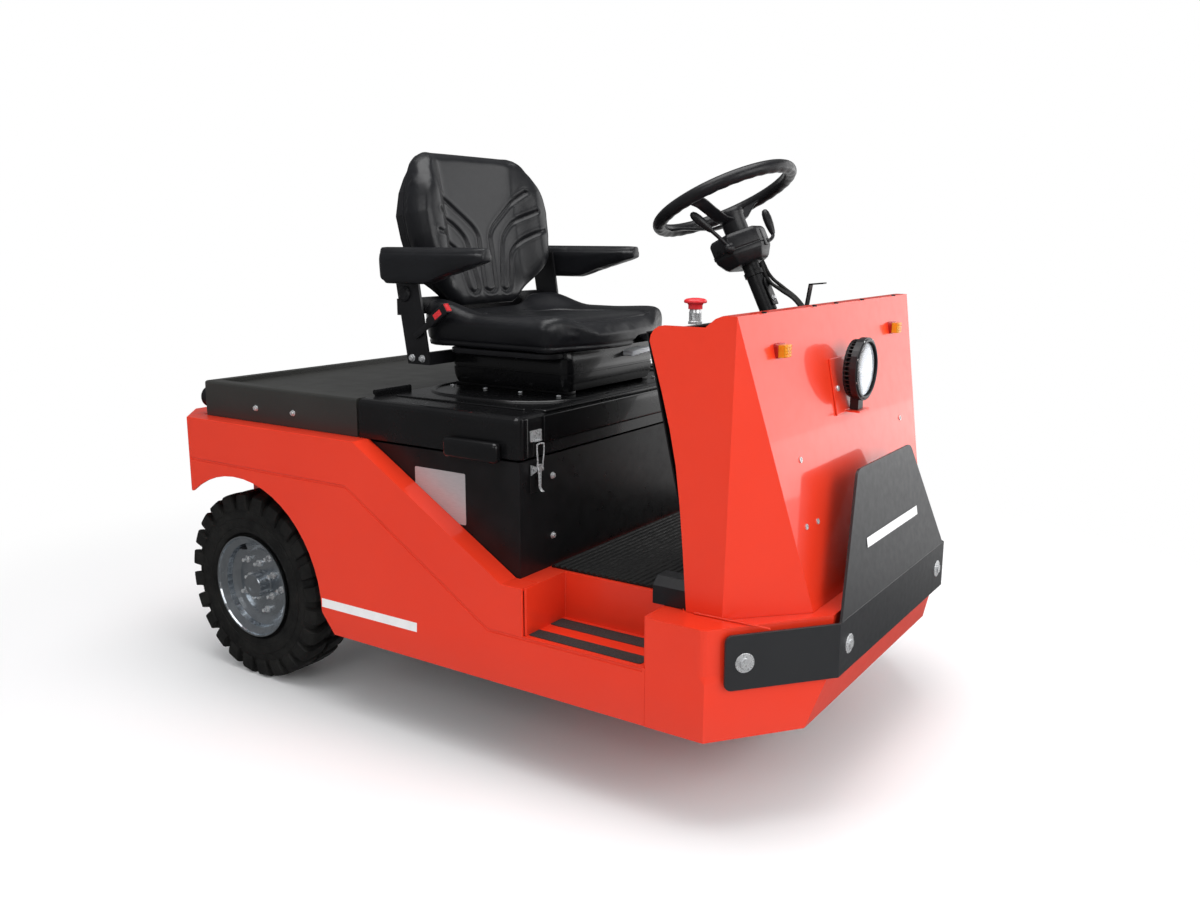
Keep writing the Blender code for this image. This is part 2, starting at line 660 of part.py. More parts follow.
def loft(rings):
    """A closed body through rings of equal count, capped at both ends."""
    shape = bmesh.new()
    loops = [[shape.verts.new(point) for point in ring] for ring in rings]
    for lower, upper in zip(loops, loops[1:]):
        for i in range(len(lower)):
            j = (i + 1) % len(lower)
            shape.faces.new((lower[i], lower[j], upper[j], upper[i]))
    shape.faces.new(loops[0])
    shape.faces.new(loops[-1])
    return shape


def prism(outline, axis, start, end):
    return loft([[spread(point, axis, along) for point in outline] for along in (start, end)])


def box(low, high):
    outline = [(low[0], low[1]), (high[0], low[1]), (high[0], high[1]), (low[0], high[1])]
    return prism(outline, "Z", low[2], high[2])


def turned(profile, axis, centre, segments=ROUND_SEGMENTS):
    """A profile of (place along the axis, radius) turned once round the axis; it is closed by itself."""
    shape = bmesh.new()
    columns = []
    for along, radius in profile:
        if radius == 0:
            columns.append([shape.verts.new(spread((0, 0), axis, along))] * segments)
            continue
        ring = []
        for i in range(segments):
            angle = math.tau * (i + 0.5) / segments
            flat = (radius * math.cos(angle), radius * math.sin(angle))
            ring.append(shape.verts.new(spread(flat, axis, along)))
        columns.append(ring)
    for k in range(len(columns)):
        first, second = columns[k], columns[(k + 1) % len(columns)]
        for i in range(segments):
            j = (i + 1) % segments
            corners = []
            for corner in (first[i], first[j], second[j], second[i]):
                if corner not in corners:
                    corners.append(corner)
            if len(corners) > 2:
                shape.faces.new(corners)
    bmesh.ops.translate(shape, verts=shape.verts, vec=Vector(centre))
    return shape


def cylinder(radius, axis, centre, start, end, segments=ROUND_SEGMENTS):
    return turned([(start, 0), (start, radius), (end, radius), (end, 0)], axis, centre, segments)


def rounded(points, radii, segments=CORNER_SEGMENTS):
    """A closed outline with each corner turned into an arc of its own radius."""
    outline = []
    for i, point in enumerate(points):
        here = Vector(point)
        radius = radii[i]
        if radius == 0:
            outline.append(tuple(here))
            continue
        back = (Vector(points[i - 1]) - here).normalized()
        ahead = (Vector(points[(i + 1) % len(points)]) - here).normalized()
        half = math.acos(max(-1.0, min(1.0, back.dot(ahead)))) / 2
        middle = here + (back + ahead).normalized() * radius / math.sin(half)
        start = here + back * radius / math.tan(half) - middle
        end = here + ahead * radius / math.tan(half) - middle
        sweep = start.angle_signed(end)
        for k in range(segments + 1):
            turn = Matrix.Rotation(-sweep * k / segments, 2)
            outline.append(tuple(middle + turn @ start))
    return outline


def offset_path(path, distance):
    """An open path moved sideways, to its right where the distance is positive."""
    moved = []
    for i, point in enumerate(path):
        here = Vector(point)
        normals = []
        for a, b in ((i - 1, i), (i, i + 1)):
            if a >= 0 and b < len(path):
                step = (Vector(path[b]) - Vector(path[a])).normalized()
                normals.append(Vector((step.y, -step.x)))
        mean = sum(normals, Vector((0, 0))).normalized()
        moved.append(tuple(here + mean * distance / mean.dot(normals[0])))
    return moved


def strip(path, thickness):
    """The closed outline of a folded sheet that follows an open path."""
    return list(path) + offset_path(path, thickness)[::-1]


def arc(centre, radius, start, end, segments):
    points = []
    for k in range(segments + 1):
        angle = start + (end - start) * k / segments
        points.append((centre[0] + radius * math.cos(angle), centre[1] + radius * math.sin(angle)))
    return points


def curve_through(points, segments):
    """A smooth flat path through three or more points."""
    path = []
    for i in range(len(points) - 1):
        ends = [Vector(points[max(0, i - 1)]), Vector(points[i]), Vector(points[i + 1])]
        ends.append(Vector(points[min(len(points) - 1, i + 2)]))
        for k in range(segments):
            t = k / segments
            a = 2 * ends[1]
            b = ends[2] - ends[0]
            c = 2 * ends[0] - 5 * ends[1] + 4 * ends[2] - ends[3]
            d = 3 * ends[1] - ends[0] - 3 * ends[2] + ends[3]
            path.append(tuple((a + b * t + c * t * t + d * t * t * t) / 2))
    path.append(tuple(points[-1]))
    return path


def mirrored(shape):
    """The same body on the other side of the vehicle's middle plane."""
    for vert in shape.verts:
        vert.co.y = -vert.co.y
    return shape


def moved_by(shape, matrix):
    bmesh.ops.transform(shape, matrix=matrix, verts=shape.verts)
    return shape


def bevel_where(shape, size, segments, chosen):
    """Rounds the edges for which chosen(first point, second point) is true."""
    edges = [edge for edge in shape.edges if chosen(edge.verts[0].co, edge.verts[1].co)]
    bmesh.ops.bevel(
        shape,
        geom=edges,
        offset=size,
        offset_type="OFFSET",
        segments=segments,
        profile=0.5,
        affect="EDGES",
    )
    return shape


def bevel_sharp(shape, size, segments, limit=math.radians(30.0)):
    edges = [edge for edge in shape.edges if edge.calc_face_angle(0) > limit]
    bmesh.ops.bevel(
        shape,
        geom=edges,
        offset=size,
        offset_type="OFFSET",
        segments=segments,
        profile=0.5,
        affect="EDGES",
    )
    return shape


# Objects


def make_pivot(name, place, parent, lean=0.0):
    pivot = bpy.data.objects.new(name, None)
    bpy.context.scene.collection.objects.link(pivot)
    pivot.parent = parent
    pivot.location = place
    pivot.rotation_euler = (0, lean, 0)
    bpy.context.view_layer.update()
    return pivot


def attach(obj, material, parent):
    """Links an object whose points are in vehicle coordinates, to be carried by its parent."""
    bpy.context.scene.collection.objects.link(obj)
    obj.data.materials.append(material)
    obj.parent = parent
    datum = bpy.data.objects["rear_axle_datum"]
    obj.matrix_parent_inverse = parent.matrix_world.inverted() @ datum.matrix_world


def place(name, shape, material, parent):
    """One piece whose mesh is in vehicle coordinates, carried by its parent."""
    obj = bpy.data.objects.new(name, finish_mesh(shape, name))
    attach(obj, material, parent)
    obj.data.shade_smooth()
    obj.data.set_sharp_from_angle(angle=math.radians(35.0))
    return obj


def place_local(name, shape, material, parent):
    """One piece whose mesh is in its parent's own coordinates."""
    obj = place(name, shape, material, parent)
    obj.matrix_parent_inverse = Matrix.Identity(4)
    return obj


def combine(target, shape, operation):
    helper = bpy.data.objects.new(f"{target.name}_{operation.lower()}", finish_mesh(shape, "helper"))
    bpy.context.scene.collection.objects.link(helper)
    helper.parent = target.parent
    helper.matrix_parent_inverse = target.matrix_parent_inverse
    helper.hide_render = True
    helper.display_type = "WIRE"
    modifier = target.modifiers.new(operation.title(), "BOOLEAN")
    modifier.operation = operation
    modifier.solver = "EXACT"
    modifier.object = helper


def add(target, *shapes):
    for shape in shapes:
        combine(target, shape, "UNION")


def cut(target, *shapes):
    for shape in shapes:
        combine(target, shape, "DIFFERENCE")


# Body panels


def side_top_path():
    return [
        (FENDER_REAR_X, FENDER_TOP),
        (SLOPE_TOP_X, FENDER_TOP),
        (SLOPE_FOOT_X, FLOOR_TOP),
        (STEP_REAR_X, FLOOR_TOP),
    ]


def side_outline():
    rise = (FENDER_TIP_HEIGHT - REAR_TYRE_RADIUS) / ARCH_RADIUS
    wheel = (0, REAR_TYRE_RADIUS)
    return [
        *side_top_path(),
        (STEP_REAR_X, STEP_TOP),
        (STEP_FRONT_X, STEP_TOP),
        (STEP_FRONT_X, BODY_BOTTOM),
        (ARCH_FOOT_X, BODY_BOTTOM),
        *arc(wheel, ARCH_RADIUS, 0.0, math.pi - math.asin(rise), 18),
        (FENDER_REAR_X, FENDER_TIP_HEIGHT),
    ]


def crease_path():
    """The pressed line on a side panel, which ends short of the wheel arch and of the nose."""
    return [
        (FENDER_REAR_X + CREASE_WIDTH, CREASE_REAR_Z),
        (CREASE_TURN_X, CREASE_REAR_Z),
        (CREASE_FOOT_X, CREASE_HEIGHT),
        (STEP_FRONT_X - CREASE_WIDTH, CREASE_HEIGHT),
    ]


def make_side_panels(paint, datum):
    inner = BODY_HALF_WIDTH - SHEET
    lip = BODY_HALF_WIDTH - FLANGE_WIDTH
    for side, name in ((-1, "side_panel_right"), (1, "side_panel_left")):
        plate = prism(side_outline(), "Y", -BODY_HALF_WIDTH, -lip)
        under = offset_path(side_top_path(), SHEET)
        under[0] = (FENDER_REAR_X - CUT_MARGIN, FENDER_TOP - SHEET)
        under[-1] = (STEP_REAR_X + CUT_MARGIN, FLOOR_TOP - SHEET)
        under += [
            (STEP_FRONT_X + CUT_MARGIN, FLOOR_TOP - SHEET),
            (STEP_FRONT_X + CUT_MARGIN, BODY_BOTTOM - CUT_MARGIN),
            (FENDER_REAR_X - CUT_MARGIN, BODY_BOTTOM - CUT_MARGIN),
        ]
        hollow = prism(under, "Y", -inner, -lip + CUT_MARGIN)
        if side > 0:
            plate, hollow = mirrored(plate), mirrored(hollow)
        start = -BODY_HALF_WIDTH - CREASE_WIDTH
        groove = prism(strip(crease_path(), CREASE_WIDTH), "Y", start, start + CREASE_WIDTH + CREASE_DEPTH)
        if side > 0:
            groove = mirrored(groove)
        panel = place(name, plate, paint["body_red"], datum)
        cut(panel, hollow, groove)


def nose_ring(height, front_x, bend, setback, inset):
    """The nose in plan at one height; bend is its corner radius, and inset runs in from the outer face."""
    foot_run = Vector((NOSE_FOOT_X - NOSE_CORNER_X, BODY_HALF_WIDTH - NOSE_FOLD_Y)).normalized()
    inward = Vector((-foot_run.y, foot_run.x))
    corner = Vector((NOSE_CORNER_X, -BODY_HALF_WIDTH)) + inward * (setback + inset)
    side_y = -BODY_HALF_WIDTH + inset
    side_x = corner.x + foot_run.x * (side_y - corner.y) / foot_run.y
    fold_x = front_x - inset
    fold_y = corner.y + foot_run.y * (fold_x - corner.x) / foot_run.x
    rear_x = STEP_FRONT_X + SEAM if inset == 0 else STEP_FRONT_X - CUT_MARGIN
    right = [(rear_x, side_y), (side_x, side_y), (fold_x, fold_y)]
    points = right + [(x, -y) for x, y in right[::-1]]
    radii = [0, bend, NOSE_SHARP_RADIUS, NOSE_SHARP_RADIUS, bend, 0]
    return [spread(point, "Z", height) for point in rounded(points, radii)]


def nose_rings(inset, bottom, top):
    return [
        nose_ring(bottom, NOSE_FOOT_X, NOSE_SHARP_RADIUS, 0, inset),
        nose_ring(CREASE_HEIGHT, NOSE_CREASE_X, NOSE_SHARP_RADIUS, 0, inset),
        nose_ring(CREASE_HEIGHT + NOSE_BEND_RISE, NOSE_FRONT_X, NOSE_BEND_RADIUS, NOSE_UPPER_SETBACK, inset),
        nose_ring(top, NOSE_FRONT_X, NOSE_BEND_RADIUS, NOSE_UPPER_SETBACK, inset),
    ]


def make_nose(paint, datum):
    nose = place("nose", loft(nose_rings(0, BODY_BOTTOM, FLOOR_TOP)), paint["body_red"], datum)
    cut(nose, loft(nose_rings(SHEET, BODY_BOTTOM - CUT_MARGIN, FLOOR_TOP - SHEET)))


def make_floor(paint, datum):
    wide = BODY_HALF_WIDTH - FLANGE_WIDTH - SEAM
    inner = BODY_HALF_WIDTH - STEP_DEPTH
    outer = BODY_HALF_WIDTH - SHEET - SEAM
    rear_wall = STEP_REAR_X + SEAM
    front = STEP_FRONT_X - SEAM
    right = [(BOX_FRONT_X + SEAM, -wide), (rear_wall, -wide), (rear_wall, -inner), (front, -inner)]
    outline = right + [(x, -y) for x, y in right[::-1]]
    floor = place(
        "floor", prism(outline, "Z", FLOOR_TOP - FLOOR_SHEET, FLOOR_TOP), paint["body_red"], datum
    )
    for side in (-1, 1):
        low = STEP_TOP - FLOOR_SHEET
        tread = box((rear_wall, -outer, low), (front, -inner + FLOOR_SHEET, STEP_TOP))
        inner_wall = box((rear_wall, -inner, low), (front, -inner + FLOOR_SHEET, FLOOR_TOP))
        rear_low = (rear_wall, -outer, low)
        rear_high = (rear_wall + FLOOR_SHEET, -inner + FLOOR_SHEET, FLOOR_TOP)
        rear = box(rear_low, rear_high)
        front_wall = box(
            (front - FLOOR_SHEET, -outer, low), (front, -inner + FLOOR_SHEET, FLOOR_TOP)
        )
        rib = box(
            (BOX_FRONT_X + SEAM, -FLOOR_RIB_Y - FLOOR_RIB_WIDTH / 2, FLOOR_TOP - FLOOR_RIB_DEPTH),
            (front, -FLOOR_RIB_Y + FLOOR_RIB_WIDTH / 2, FLOOR_TOP - FLOOR_SHEET / 2),
        )
        pieces = [tread, inner_wall, rear, front_wall, rib]
        if side > 0:
            pieces = [mirrored(piece) for piece in pieces]
        add(floor, *pieces)


def make_mat(paint, datum):
    base = FLOOR_TOP + SEAM
    profile = [(MAT_REAR_X, base), (MAT_FRONT_X, base), (MAT_FRONT_X, base + MAT_BASE)]
    count = int((MAT_FRONT_X - MAT_REAR_X) / MAT_PITCH)
    for i in range(count):
        start = MAT_FRONT_X - (i + 0.25) * MAT_PITCH
        for shift, height in ((0, 0), (0.15, 1), (0.45, 1), (0.6, 0)):
            profile.append((start - shift * MAT_PITCH, base + MAT_BASE + height * MAT_RIB))
    profile.append((MAT_REAR_X, base + MAT_BASE))
    place("floor_mat", prism(profile, "Y", -MAT_HALF_WIDTH, MAT_HALF_WIDTH), paint["rubber"], datum)


def make_bumper(paint, datum):
    path = [
        (BUMPER_END_X, -BUMPER_END_Y),
        (BUMPER_FRONT_X, -BUMPER_BEND_Y),
        (BUMPER_FRONT_X, BUMPER_BEND_Y),
        (BUMPER_END_X, BUMPER_END_Y),
    ]
    band = prism(strip(path, -BUMPER_THICKNESS), "Z", BUMPER_BOTTOM, BUMPER_TOP)
    reach = BUMPER_END_X + BUMPER_THICKNESS
    bevel_where(
        band,
        BUMPER_CORNER,
        CORNER_SEGMENTS,
        lambda a, b: a.z == b.z and a.x < reach and b.x < reach,
    )
    bumper = place("bumper_shield", band, paint["black_steel"], datum)
    foot = BUMPER_TOP - BUMPER_THICKNESS
    outline = rounded(
        [
            (-SHIELD_FOOT_HALF, foot),
            (SHIELD_FOOT_HALF, foot),
            (SHIELD_TOP_HALF, SHIELD_TOP),
            (-SHIELD_TOP_HALF, SHIELD_TOP),
        ],
        [0, 0, SHIELD_CORNER, SHIELD_CORNER],
    )
    shield = prism(outline, "X", BUMPER_FRONT_X - BUMPER_THICKNESS, BUMPER_FRONT_X)
    hinge = Vector((BUMPER_FRONT_X, 0, foot))
    lean = Matrix.Rotation(-math.atan(SHIELD_LEAN_SHARE), 4, "Y")
    moved_by(shield, Matrix.Translation(hinge) @ lean @ Matrix.Translation(-hinge))
    add(bumper, shield)
    back = BUMPER_FRONT_X - BUMPER_THICKNESS / 2
    for side in (-1, 1):
        place_at = (0, side * BUMPER_BOLT_Y, BUMPER_BOLT_Z)
        add(bumper, cylinder(SPACER_RADIUS, "X", place_at, NOSE_FRONT_X + SEAM, back, SMALL_SEGMENTS))


# Cowl, dash and lamps


def cowl_ring(height, spread_share, inset):
    """The cowl in plan; the folds run out from its top corners as spread_share grows to 1."""
    drop = COWL_TOP - height
    front_x = COWL_TOP_FRONT_X + COWL_LEAN_SHARE * drop - inset
    side_y = COWL_HALF_WIDTH - inset
    corner_x = COWL_TOP_FRONT_X + (COWL_FOOT_CORNER_X - COWL_TOP_FRONT_X) * spread_share - inset
    fold_y = side_y + (COWL_FOOT_FOLD_Y - COWL_HALF_WIDTH) * spread_share
    rear_x = COWL_REAR_TOP_X - CUT_MARGIN - inset
    right = [(rear_x, -side_y), (corner_x, -side_y), (front_x, -fold_y)]
    return [spread(point, "Z", height) for point in right + [(x, -y) for x, y in right[::-1]]]


def cowl_body(inset, margin):
    """The cowl's outer or inner form, from the floor to its top; margin runs it past both ends."""
    foot = FLOOR_TOP + SEAM
    height = COWL_TOP - foot
    low_share = 1 + margin / height
    tiny = SEAM / height
    return loft(
        [
            cowl_ring(foot - margin, low_share, inset),
            cowl_ring(COWL_TOP, tiny, inset),
            *([cowl_ring(COWL_TOP + margin, tiny, inset)] if margin else []),
        ]
    )


def cowl_side_outline():
    """What is kept of the cowl seen from the side."""
    rear = curve_through(
        [
            (COWL_REAR_FOOT_X, FLOOR_TOP - CUT_MARGIN),
            (COWL_REAR_MIDDLE_X, COWL_REAR_MIDDLE_Z),
            (COWL_REAR_TOP_X, COWL_SHOULDER - COWL_SHOULDER_RADIUS),
        ],
        4,
    )
    centre = (COWL_REAR_TOP_X + COWL_SHOULDER_RADIUS, COWL_SHOULDER - COWL_SHOULDER_RADIUS)
    shoulder = arc(centre, COWL_SHOULDER_RADIUS, math.pi, math.pi / 2, CORNER_SEGMENTS)
    far = NOSE_FRONT_X + CUT_MARGIN
    return [
        *rear[:-1],
        *shoulder,
        (COWL_SHOULDER_END_X, COWL_SHOULDER),
        (COWL_SHOULDER_END_X + COWL_SHOULDER_RAMP, COWL_TOP - SHEET),
        (COWL_TOP_FRONT_X - COWL_LIP, COWL_TOP),
        (COWL_TOP_FRONT_X, COWL_TOP + CUT_MARGIN),
        (far, COWL_TOP + CUT_MARGIN),
        (far, FLOOR_TOP - CUT_MARGIN),
    ]


def make_cowl(paint, datum):
    cowl = place("cowl", cowl_body(0, 0), paint["body_red"], datum)
    cut(cowl, cowl_body(COWL_WALL, CUT_MARGIN))
    keep = prism(cowl_side_outline(), "Y", -BODY_HALF_WIDTH, BODY_HALF_WIDTH)
    combine(cowl, keep, "INTERSECT")
    lip_half = COWL_HALF_WIDTH - COWL_WALL / 2
    lip_front = COWL_TOP_FRONT_X - COWL_WALL / 2
    lip = box(
        (COWL_TOP_FRONT_X - COWL_LIP, -lip_half, COWL_TOP - COWL_WALL),
        (lip_front, lip_half, COWL_TOP),
    )
    add(cowl, lip)


def make_dash(paint, datum):
    half = COWL_HALF_WIDTH - COWL_WALL - DASH_SIDE_GAP
    path = [
        (DASH_FRONT_X, DASH_FRONT_Z),
        (DASH_REAR_X, DASH_REAR_Z),
        (DASH_FOOT_X, FLOOR_TOP + SEAM),
    ]
    dash = place("dash", prism(strip(path, -DASH_SHEET), "Y", -half, half), paint["black_steel"], datum)
    hole = cylinder(
        COLUMN_RADIUS + COLUMN_HOLE_GAP, "Z", (0, 0, 0), -COLUMN_END_DROP - CUT_MARGIN, -HOUSING_TOP_DROP
    )
    lean = Matrix.Rotation(-COLUMN_LEAN, 4, "Y")
    centre = Matrix.Translation((WHEEL_CENTRE_X, 0, WHEEL_CENTRE_Z))
    cut(dash, moved_by(hole, centre @ lean))


def cowl_front_x(height):
    return COWL_TOP_FRONT_X + COWL_LEAN_SHARE * (COWL_TOP - height)


def make_headlight(paint, datum):
    gap = SEAM
    front = cowl_front_x(BRACKET_BOTTOM) + gap
    top = cowl_front_x(BRACKET_TOP) + gap
    path = [(top, BRACKET_TOP), (front, BRACKET_BOTTOM)]
    plate = prism(strip(path, -BRACKET_SHEET), "Y", BRACKET_RIGHT_Y, BRACKET_LEFT_Y)
    bracket = place("headlight_bracket", plate, paint["body_red"], datum)
    foot_z = BRACKET_BOTTOM + BRACKET_FOOT_RISE
    low = (front + gap, HEADLIGHT_Y - BRACKET_FOOT_HALF, foot_z - BRACKET_SHEET)
    high = (front + BRACKET_FOOT_REACH, HEADLIGHT_Y + BRACKET_FOOT_HALF, foot_z)
    add(bracket, box(low, high))

    back = HEADLIGHT_FRONT_X - HEADLIGHT_DEPTH
    ring = HEADLIGHT_FRONT_X - HEADLIGHT_RING
    lens_back = HEADLIGHT_FRONT_X - LENS_RECESS - LENS_DEPTH
    profile = [(back, 0), (back, HEADLIGHT_BACK_RADIUS)]
    for i in range(HEADLIGHT_FINS):
        start = back + (i + 0.5) * HEADLIGHT_FIN_DEPTH / 2
        end = start + HEADLIGHT_FIN_DEPTH / 4
        profile += [(start, HEADLIGHT_BACK_RADIUS), (start, HEADLIGHT_FIN_RADIUS)]
        profile += [(end, HEADLIGHT_FIN_RADIUS), (end, HEADLIGHT_BACK_RADIUS)]
    profile += [
        (ring, HEADLIGHT_BACK_RADIUS),
        (ring, HEADLIGHT_RADIUS),
        (HEADLIGHT_FRONT_X, HEADLIGHT_RADIUS),
        (HEADLIGHT_FRONT_X, LENS_RADIUS + SEAM),
        (lens_back - SEAM, LENS_RADIUS + SEAM),
        (lens_back - SEAM, 0),
    ]
    centre = (0, HEADLIGHT_Y, HEADLIGHT_Z)
    lamp = place("headlight", turned(profile, "X", centre, 32), paint["black_plastic"], datum)
    lug_low = (ring - LUG_DEPTH * 0.75, HEADLIGHT_Y - LUG_HALF_WIDTH, foot_z + gap)
    lug_high = (ring + LUG_DEPTH / 4, HEADLIGHT_Y + LUG_HALF_WIDTH, HEADLIGHT_Z - HEADLIGHT_BACK_RADIUS)
    add(lamp, box(lug_low, lug_high))
    lens = cylinder(LENS_RADIUS, "X", centre, lens_back, HEADLIGHT_FRONT_X - LENS_RECESS, 32)
    place("headlight_lens", lens, paint["clear_lens"], datum)


def make_amber_lamps(paint, datum):
    half_width, half_height = AMBER_WIDTH / 2, AMBER_HEIGHT / 2
    base = cowl_front_x(AMBER_Z)
    lean = COWL_LEAN_SHARE * half_height
    corners = [(-half_width, -half_height), (half_width, -half_height)]
    corners += [(half_width, half_height), (-half_width, half_height)]
    outline = rounded(corners, [AMBER_CORNER] * 4)
    for side, name in ((-1, "amber_lamp_right"), (1, "amber_lamp_left")):
        rings = []
        for along, share in ((0, 1), (AMBER_DEPTH * 0.6, 1), (AMBER_DEPTH, 0.72)):
            ring = []
            for y, z in outline:
                x = base + SEAM + along - lean * z / half_height
                ring.append(Vector((x, side * AMBER_Y + y * share, AMBER_Z + z * share)))
            rings.append(ring)
        place(name, loft(rings), paint["amber_lens"], datum)


# Deck, battery and rear end


def make_rear_deck(paint, datum):
    front = DECK_SPLIT_X
    low = (DECK_REAR_X, -DECK_HALF_WIDTH, DECK_BOTTOM)
    high = (front, DECK_HALF_WIDTH, DECK_TOP)
    body = box(low, high)
    above = 2 * (DECK_BOTTOM + SHEET)
    bevel_where(body, DECK_EDGE, 3, lambda a, b: a.z + b.z > above and a.x + b.x < 2 * front - SHEET)
    deck = place("rear_deck", body, paint["black_steel"], datum)
    under = box(
        (DECK_REAR_X + DECK_WALL, -DECK_HALF_WIDTH + DECK_WALL, DECK_BOTTOM - CUT_MARGIN),
        (front - DECK_WALL, DECK_HALF_WIDTH - DECK_WALL, DECK_TOP - DECK_TRAY_DEPTH - DECK_WALL),
    )
    tray = box(
        (DECK_REAR_X + DECK_RIM, -DECK_HALF_WIDTH + DECK_RIM, DECK_TOP - DECK_TRAY_DEPTH),
        (front + CUT_MARGIN, DECK_HALF_WIDTH - DECK_RIM, DECK_TOP + CUT_MARGIN),
    )
    cut(deck, under, tray)


def make_tail_lamps(paint, datum):
    face = DECK_REAR_X - SEAM
    for side, name in ((-1, "tail_lamp_right"), (1, "tail_lamp_left")):
        centre = (0, side * TAIL_LAMP_Y, TAIL_LAMP_Z)
        profile = [
            (face, 0),
            (face, TAIL_LAMP_RADIUS),
            (face - TAIL_LAMP_DEPTH * 0.6, TAIL_LAMP_RADIUS),
            (face - TAIL_LAMP_DEPTH * 0.9, TAIL_LAMP_RADIUS * 0.8),
            (face - TAIL_LAMP_DEPTH, 0),
        ]
        place(name, turned(profile[::-1], "X", centre, ROUND_SEGMENTS), paint["clear_lens"], datum)


def make_battery_box(paint, datum):
    outer = box(
        (BOX_REAR_X, -BOX_HALF_WIDTH, BODY_BOTTOM), (BOX_FRONT_X, BOX_HALF_WIDTH, BOX_TOP)
    )
    tray = place("battery_box", outer, paint["black_steel"], datum)
    inner = box(
        (BOX_REAR_X + BOX_WALL, -BOX_HALF_WIDTH + BOX_WALL, BODY_BOTTOM + BOX_WALL),
        (BOX_FRONT_X - BOX_WALL, BOX_HALF_WIDTH - BOX_WALL, BOX_TOP + CUT_MARGIN),
    )
    cut(tray, inner)
    cells = box(
        (BATTERY_REAR_X, -BATTERY_HALF_WIDTH, BATTERY_BOTTOM),
        (BATTERY_FRONT_X, BATTERY_HALF_WIDTH, BATTERY_TOP),
    )
    place("battery", cells, paint["battery_grey"], datum)


def make_rear_panel(paint, datum):
    front = FENDER_REAR_X - SEAM
    right = [(front, -BODY_HALF_WIDTH), (REAR_PANEL_X, -REAR_CHAMFER_Y)]
    path = right + [(x, -y) for x, y in right[::-1]]
    inside = offset_path(path, REAR_SHEET)
    inside[0] = (front, -BODY_HALF_WIDTH + REAR_SHEET)
    inside[-1] = (front, BODY_HALF_WIDTH - REAR_SHEET)
    wall = prism(path + inside[::-1], "Z", FENDER_TIP_HEIGHT, FENDER_TOP)
    panel = place("rear_panel", wall, paint["body_red"], datum)
    shelf = offset_path(path, REAR_SHEET / 2)
    shelf[0] = (front, -BODY_HALF_WIDTH + REAR_SHEET / 2)
    shelf[-1] = (front, BODY_HALF_WIDTH - REAR_SHEET / 2)
    top = prism(shelf, "Z", FENDER_TOP - REAR_SHEET, FENDER_TOP)
    tongue = box(
        (REAR_PANEL_X, -REAR_TONGUE_HALF, REAR_TONGUE_BOTTOM),
        (REAR_PANEL_X + REAR_SHEET, REAR_TONGUE_HALF, FENDER_TIP_HEIGHT + REAR_SHEET),
    )
    bevel_where(
        tongue,
        REAR_TONGUE_HALF / 4,
        1,
        lambda a, b: a.y == b.y and a.z == b.z and a.z < REAR_TONGUE_BOTTOM + REAR_SHEET,
    )
    add(panel, top, tongue)


def make_hitch(paint, datum):
    back = REAR_PANEL_X - SEAM
    flange = box(
        (back - HITCH_PLATE, -HITCH_FLANGE_HALF, HITCH_Z - HITCH_FLANGE_HEIGHT),
        (back, HITCH_FLANGE_HALF, HITCH_Z + HITCH_FLANGE_HEIGHT),
    )
    hitch = place("tow_hitch", flange, paint["black_steel"], datum)
    end = REAR_PANEL_X - HITCH_REACH
    pin_x = end + HITCH_PIN_INSET
    for level in (-1, 1):
        middle = HITCH_Z + level * HITCH_JAW_HALF_HEIGHT
        low = middle - HITCH_JAW_PLATE / 2
        plan = rounded(
            [
                (end, -HITCH_HALF_WIDTH),
                (back - HITCH_PLATE / 2, -HITCH_HALF_WIDTH),
                (back - HITCH_PLATE / 2, HITCH_HALF_WIDTH),
                (end, HITCH_HALF_WIDTH),
            ],
            [HITCH_PIN_INSET * 0.8, 0, 0, HITCH_PIN_INSET * 0.8],
        )
        add(hitch, prism(plan, "Z", low, low + HITCH_JAW_PLATE))
        bore = cylinder(
            HITCH_PIN_RADIUS + HITCH_PIN_CLEARANCE,
            "Z",
            (pin_x, 0, 0),
            low - CUT_MARGIN / 2,
            low + HITCH_JAW_PLATE + CUT_MARGIN / 2,
        )
        cut(hitch, bore)
    jaw_top = HITCH_Z + HITCH_JAW_HALF_HEIGHT + HITCH_JAW_PLATE / 2 + SEAM
    jaw_bottom = HITCH_Z - HITCH_JAW_HALF_HEIGHT - HITCH_JAW_PLATE / 2
    profile = [
        (jaw_bottom - HITCH_PIN_TAIL, 0),
        (jaw_bottom - HITCH_PIN_TAIL, HITCH_PIN_RADIUS / 2),
        (jaw_bottom - HITCH_PIN_TAIL / 2, HITCH_PIN_RADIUS),
        (jaw_top, HITCH_PIN_RADIUS),
        (jaw_top, HITCH_PIN_RING),
        (jaw_top + HITCH_JAW_PLATE / 2, HITCH_PIN_RING),
        (jaw_top + HITCH_JAW_PLATE / 2, HITCH_PIN_RADIUS),
        (jaw_top + HITCH_PIN_HEAD, HITCH_PIN_RADIUS),
        (jaw_top + HITCH_PIN_HEAD, 0),
    ]
    place("tow_pin", turned(profile, "Z", (pin_x, 0, 0), ROUND_SEGMENTS), paint["zinc"], datum)


